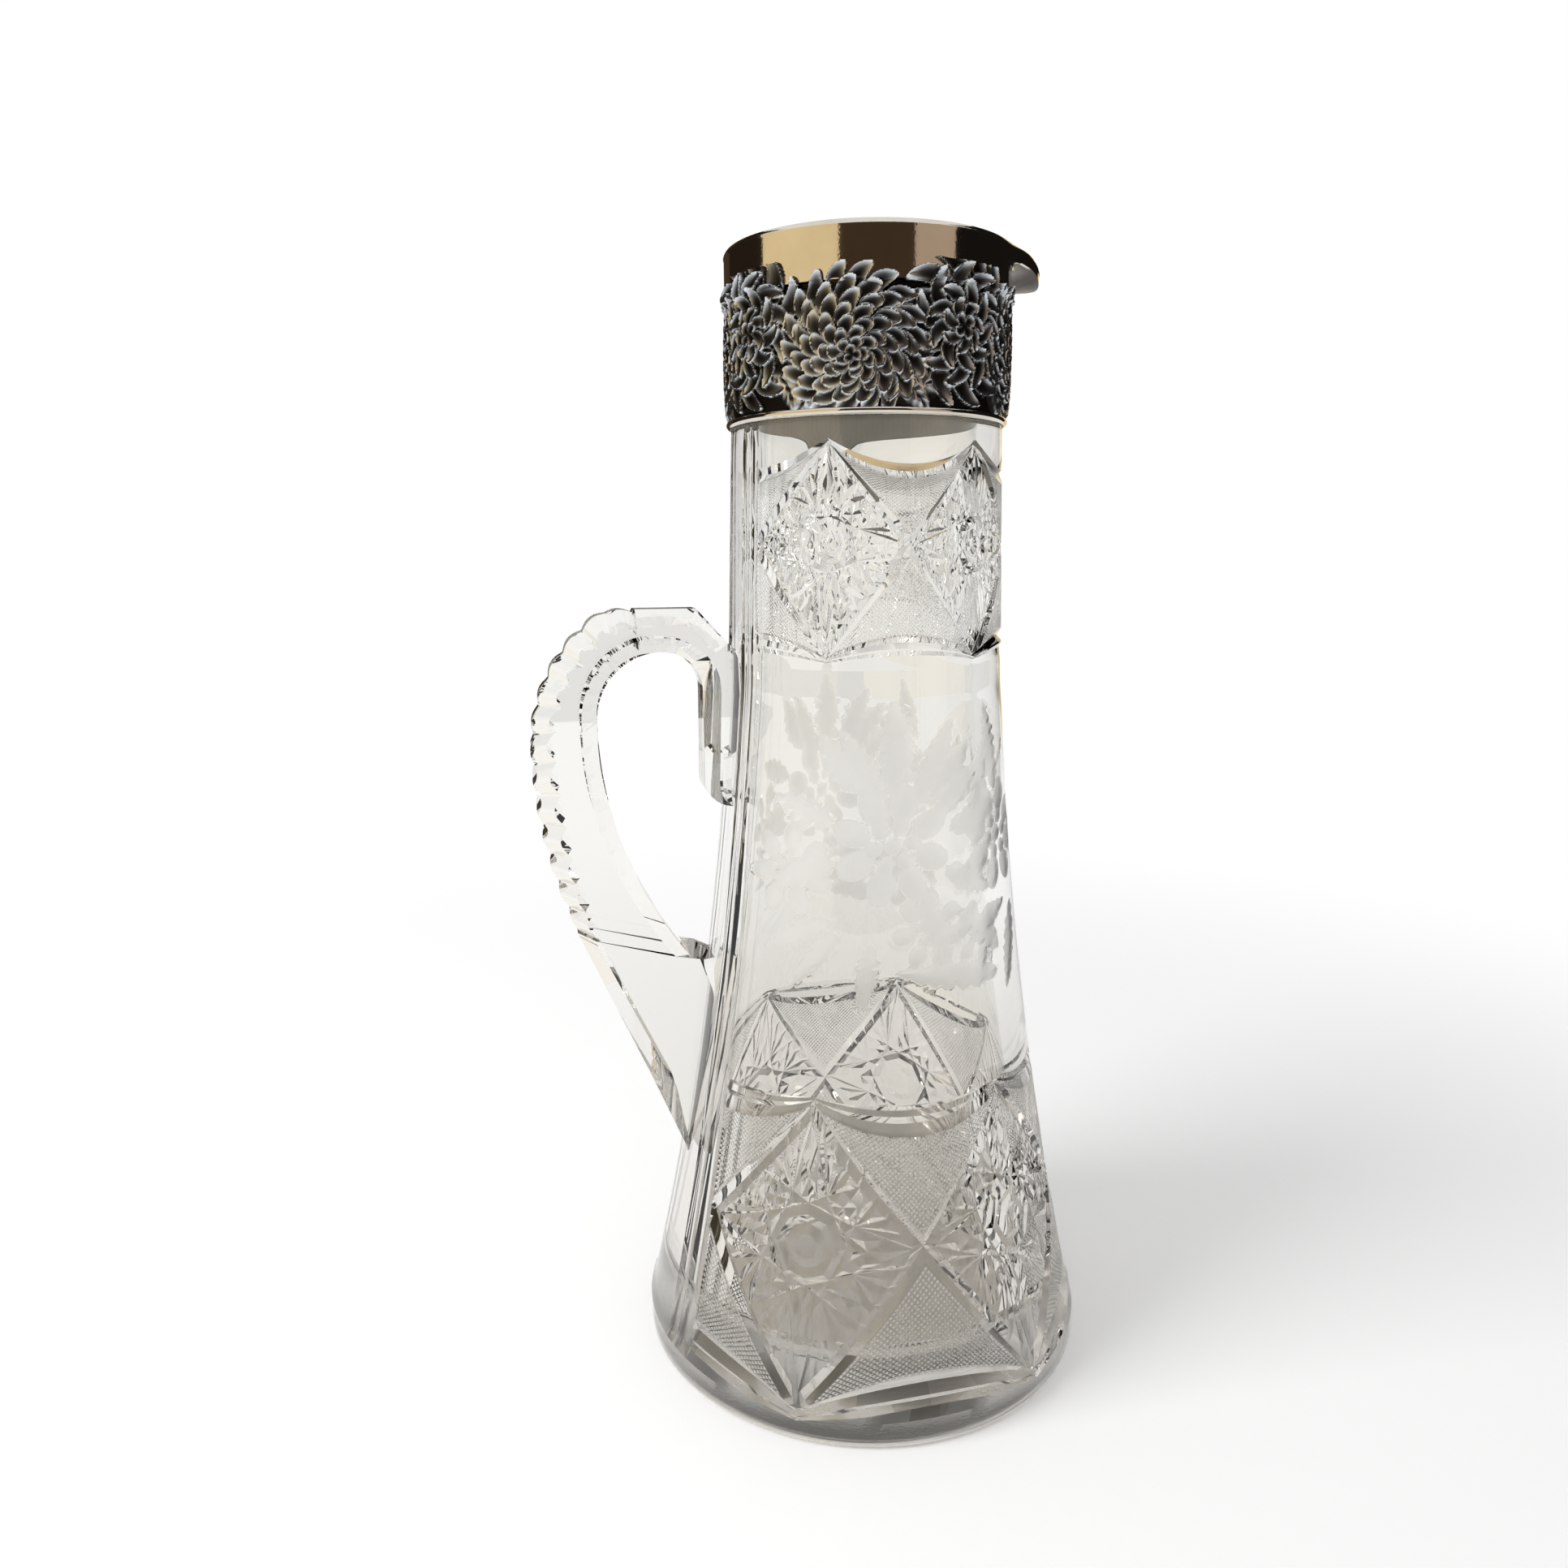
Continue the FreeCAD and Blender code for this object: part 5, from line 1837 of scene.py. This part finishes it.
@dataclass(frozen=True)
class Studio:
    """Pale floor and backdrop, soft light from the left, and dark and warm cards for the silver.

    Attributes:
        floor_plain: Distances from the jug at which the floor starts to be and is plain white.
        card_stops: Turn from the camera at which each card starts, and its colour.
        card_thinness: How much of the white behind them glass sees through the cards.
        fill: Strength of the even light on the jug.
        camera_turn: Turn at which the camera stands.
    """

    floor_size: float = 4.0
    floor_height: float = -0.0003
    floor_plain: tuple[float, float] = (0.16, 0.6)
    floor_colour: Colour = (0.92, 0.92, 0.915)
    floor_glow: float = 0.17
    card_radius: float = 1.3
    card_height: float = 1.6
    card_columns: int = 361
    card_stops: tuple[tuple[float, Colour], ...] = (
        (-180.0, BROWN), (-140.0, DARK), (-88.0, CREAM), (-22.0, BROWN), (36.0, BEIGE),
        (69.0, BLACK), (150.0, CREAM))
    card_thinness: float = 0.85
    fill: float = 0.55
    key_power: float = 10.0
    key_size: float = 0.6
    key_turn: float = -62.0
    key_tilt: float = 58.0
    key_place: tuple[float, float, float] = (1.0, 0.0, 0.75)
    camera_turn: float = -106.5

    @staticmethod
    def sheet(name: str, places: np.ndarray, faces: Sequence[Sequence[int]],
              material: bpy.types.Material) -> bpy.types.Object:
        """Make a mesh for the studio round the jug.

        Args:
            name: Name of the object.
            places: Its points in metres.
            faces: Point numbers of its faces.
            material: Its finish.

        Returns:
            The object.
        """
        mesh = bpy.data.meshes.new(name)
        mesh.from_pydata(places.tolist(), [], faces)
        mesh.materials.append(material)
        piece = link(bpy.data.objects.new(name, mesh))
        LOG.info("%s: stage", name)
        return piece

    def floor(self) -> bpy.types.Object:
        """Make the floor, which keeps the shadow near the jug and is plain white far off.

        Returns:
            The floor.
        """
        material, board = new_board("pale_floor")
        place = board.place()
        away = board.make("ShaderNodeVectorMath", {"operation": "LENGTH"}, {0: place})["Value"]
        pale = board.make("ShaderNodeBsdfDiffuse", None, {"Color": opaque(self.floor_colour)})
        glow = board.glow(opaque(WHITE), self.shown(board) * self.floor_glow)
        cloth = board.make("ShaderNodeAddShader", None, {0: pale["BSDF"], 1: glow})
        white = board.glow(opaque(WHITE), 1.0)
        board.surface(board.blended(away.between(*self.floor_plain), cloth["Shader"], white))
        half = self.floor_size
        corners = np.array([(-half, -half), (half, -half), (half, half), (-half, half)])
        places = np.column_stack([corners, np.full(4, self.floor_height)])
        return self.sheet("floor", places, [(0, 1, 2, 3)], material)

    @staticmethod
    def shown(board: Board) -> Signal:
        """Share 1 for rays that show the background: to the camera, by reflection or through glass.

        Args:
            board: Board of the material or of the world.

        Returns:
            The share.
        """
        path = board.make("ShaderNodeLightPath")
        both = board.maths("MAXIMUM", path["Is Glossy Ray"], path["Is Transmission Ray"])
        return board.maths("MAXIMUM", path["Is Camera Ray"], both)

    def room(self) -> None:
        """Make the world: white where it is seen, and an even fill on the jug."""
        world = bpy.data.worlds.new("pale_room")
        world.use_nodes = True
        bpy.context.scene.world = world
        board = Board(world.node_tree)
        lit, plain = (
            board.make("ShaderNodeBackground", None, {"Color": opaque(WHITE), "Strength": strength})
            for strength in (self.fill, 1.0))
        mix = board.blended(self.shown(board), lit["Background"], plain["Background"])
        board.make("ShaderNodeOutputWorld", None, {"Surface": mix})

    def cards(self) -> bpy.types.Object:
        """Stand a ring of dark and warm cards round the jug, out of the picture, for its silver.

        The ring is a cylinder about the jug's axis, and a card's colour follows the turn from the
        camera. Glass sees mostly the white behind the cards.

        Returns:
            The ring.
        """
        material, board = new_board("reflection_cards")
        parts = board.make("ShaderNodeSeparateXYZ", None, {"Vector": board.place()})
        turn = board.maths("ARCTAN2", parts["Y"], parts["X"])
        share = board.maths("FRACT", turn / (2.0 * math.pi) - self.camera_turn / 360.0 + 1.5)
        stops = [(0.5 + angle / 360.0, colour) for angle, colour in self.card_stops]
        walls = board.make("ShaderNodeValToRGB", {"stops": stops}, {"Fac": share})
        walls.node.color_ramp.interpolation = "CONSTANT"
        card = board.glow(walls["Color"], 1.0)
        open_air = board.make("ShaderNodeBsdfTransparent")["BSDF"]
        through = board.make("ShaderNodeLightPath")["Is Transmission Ray"]
        board.surface(board.blended(through * self.card_thinness, card, open_air))
        turns = np.linspace(-180.0, 180.0, self.card_columns)[None, :]
        heights = np.array([0.0, self.card_height])[:, None]
        places = on_axis(turns, self.card_radius, heights)
        faces = grid_triangles(2, self.card_columns).tolist()
        piece = self.sheet("reflection_cards", places, faces, material)
        piece.visible_camera = piece.visible_diffuse = piece.visible_shadow = False
        return piece

    def key(self) -> None:
        """Make the soft key light, to the left of the camera and a little above the jug."""
        data = bpy.data.lights.new("key", "AREA")
        data.shape = "RECTANGLE"
        data.size = data.size_y = self.key_size
        data.energy = self.key_power
        light = link(bpy.data.objects.new("key", data))
        light.visible_glossy = False
        place = Matrix.Rotation(math.radians(self.camera_turn + self.key_turn), 4, "Z")
        aim = Matrix.Rotation(math.radians(self.key_tilt), 4, "Y")
        light.matrix_world = place @ Matrix.Translation(self.key_place) @ aim

    def build(self) -> None:
        """Make floor, room, cards and key light, and set the plain view transform."""
        self.floor()
        self.room()
        self.cards()
        self.key()
        bpy.context.scene.view_settings.view_transform = "Standard"


def dress_node(frame: dict[str, Any], node: str, material: bpy.types.Material) -> None:
    """Give a carried-over CAD node a finish of its own.

    Args:
        frame: What was loaded.
        node: Name of the CAD node.
        material: Its finish.
    """
    mesh = frame["nodes"][node].data
    mesh.materials.clear()
    mesh.materials.append(material)
    LOG.info("%s: CAD node dressed", node)


def main() -> None:
    """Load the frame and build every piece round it."""
    logging.basicConfig(level=logging.INFO, format="%(name)s %(message)s")
    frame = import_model()
    Viewpoint().build()
    profile = GlassProfile()
    body = CutGlassBody(profile)
    glass = GlassFinish("cut_glass").material(body.frost_layer)
    body.build(glass)
    GlassHandle(profile).build(glass, body.frost_layer)
    collar = ChasedCollar()
    chased = SilverFinish("chased_silver", bright=(0.76, 0.80, 0.85),
                          tarnish_and_shade=(0.10, 0.098, 0.092), polish=0.15, height=0.95)
    worked = chased.material(collar.relief_layer)
    polished = SilverFinish("polished_silver", polish=0.05, dull=0.3).material(collar.relief_layer)
    collar.build(worked)
    collar.build_wire(polished)
    PolishedMouth().build(polished, collar.relief_layer)
    lining = SilverFinish("lining_silver", polish=0.12, hollow=-2.0, height=-1.0)
    dress_node(frame, "collar_lining", lining.material(collar.relief_layer))
    dress_node(frame, "plaster_bed", PlasterFinish("set_plaster").material())
    Studio().build()
    LOG.info("sizes written")


if __name__ == "__main__":
    main()
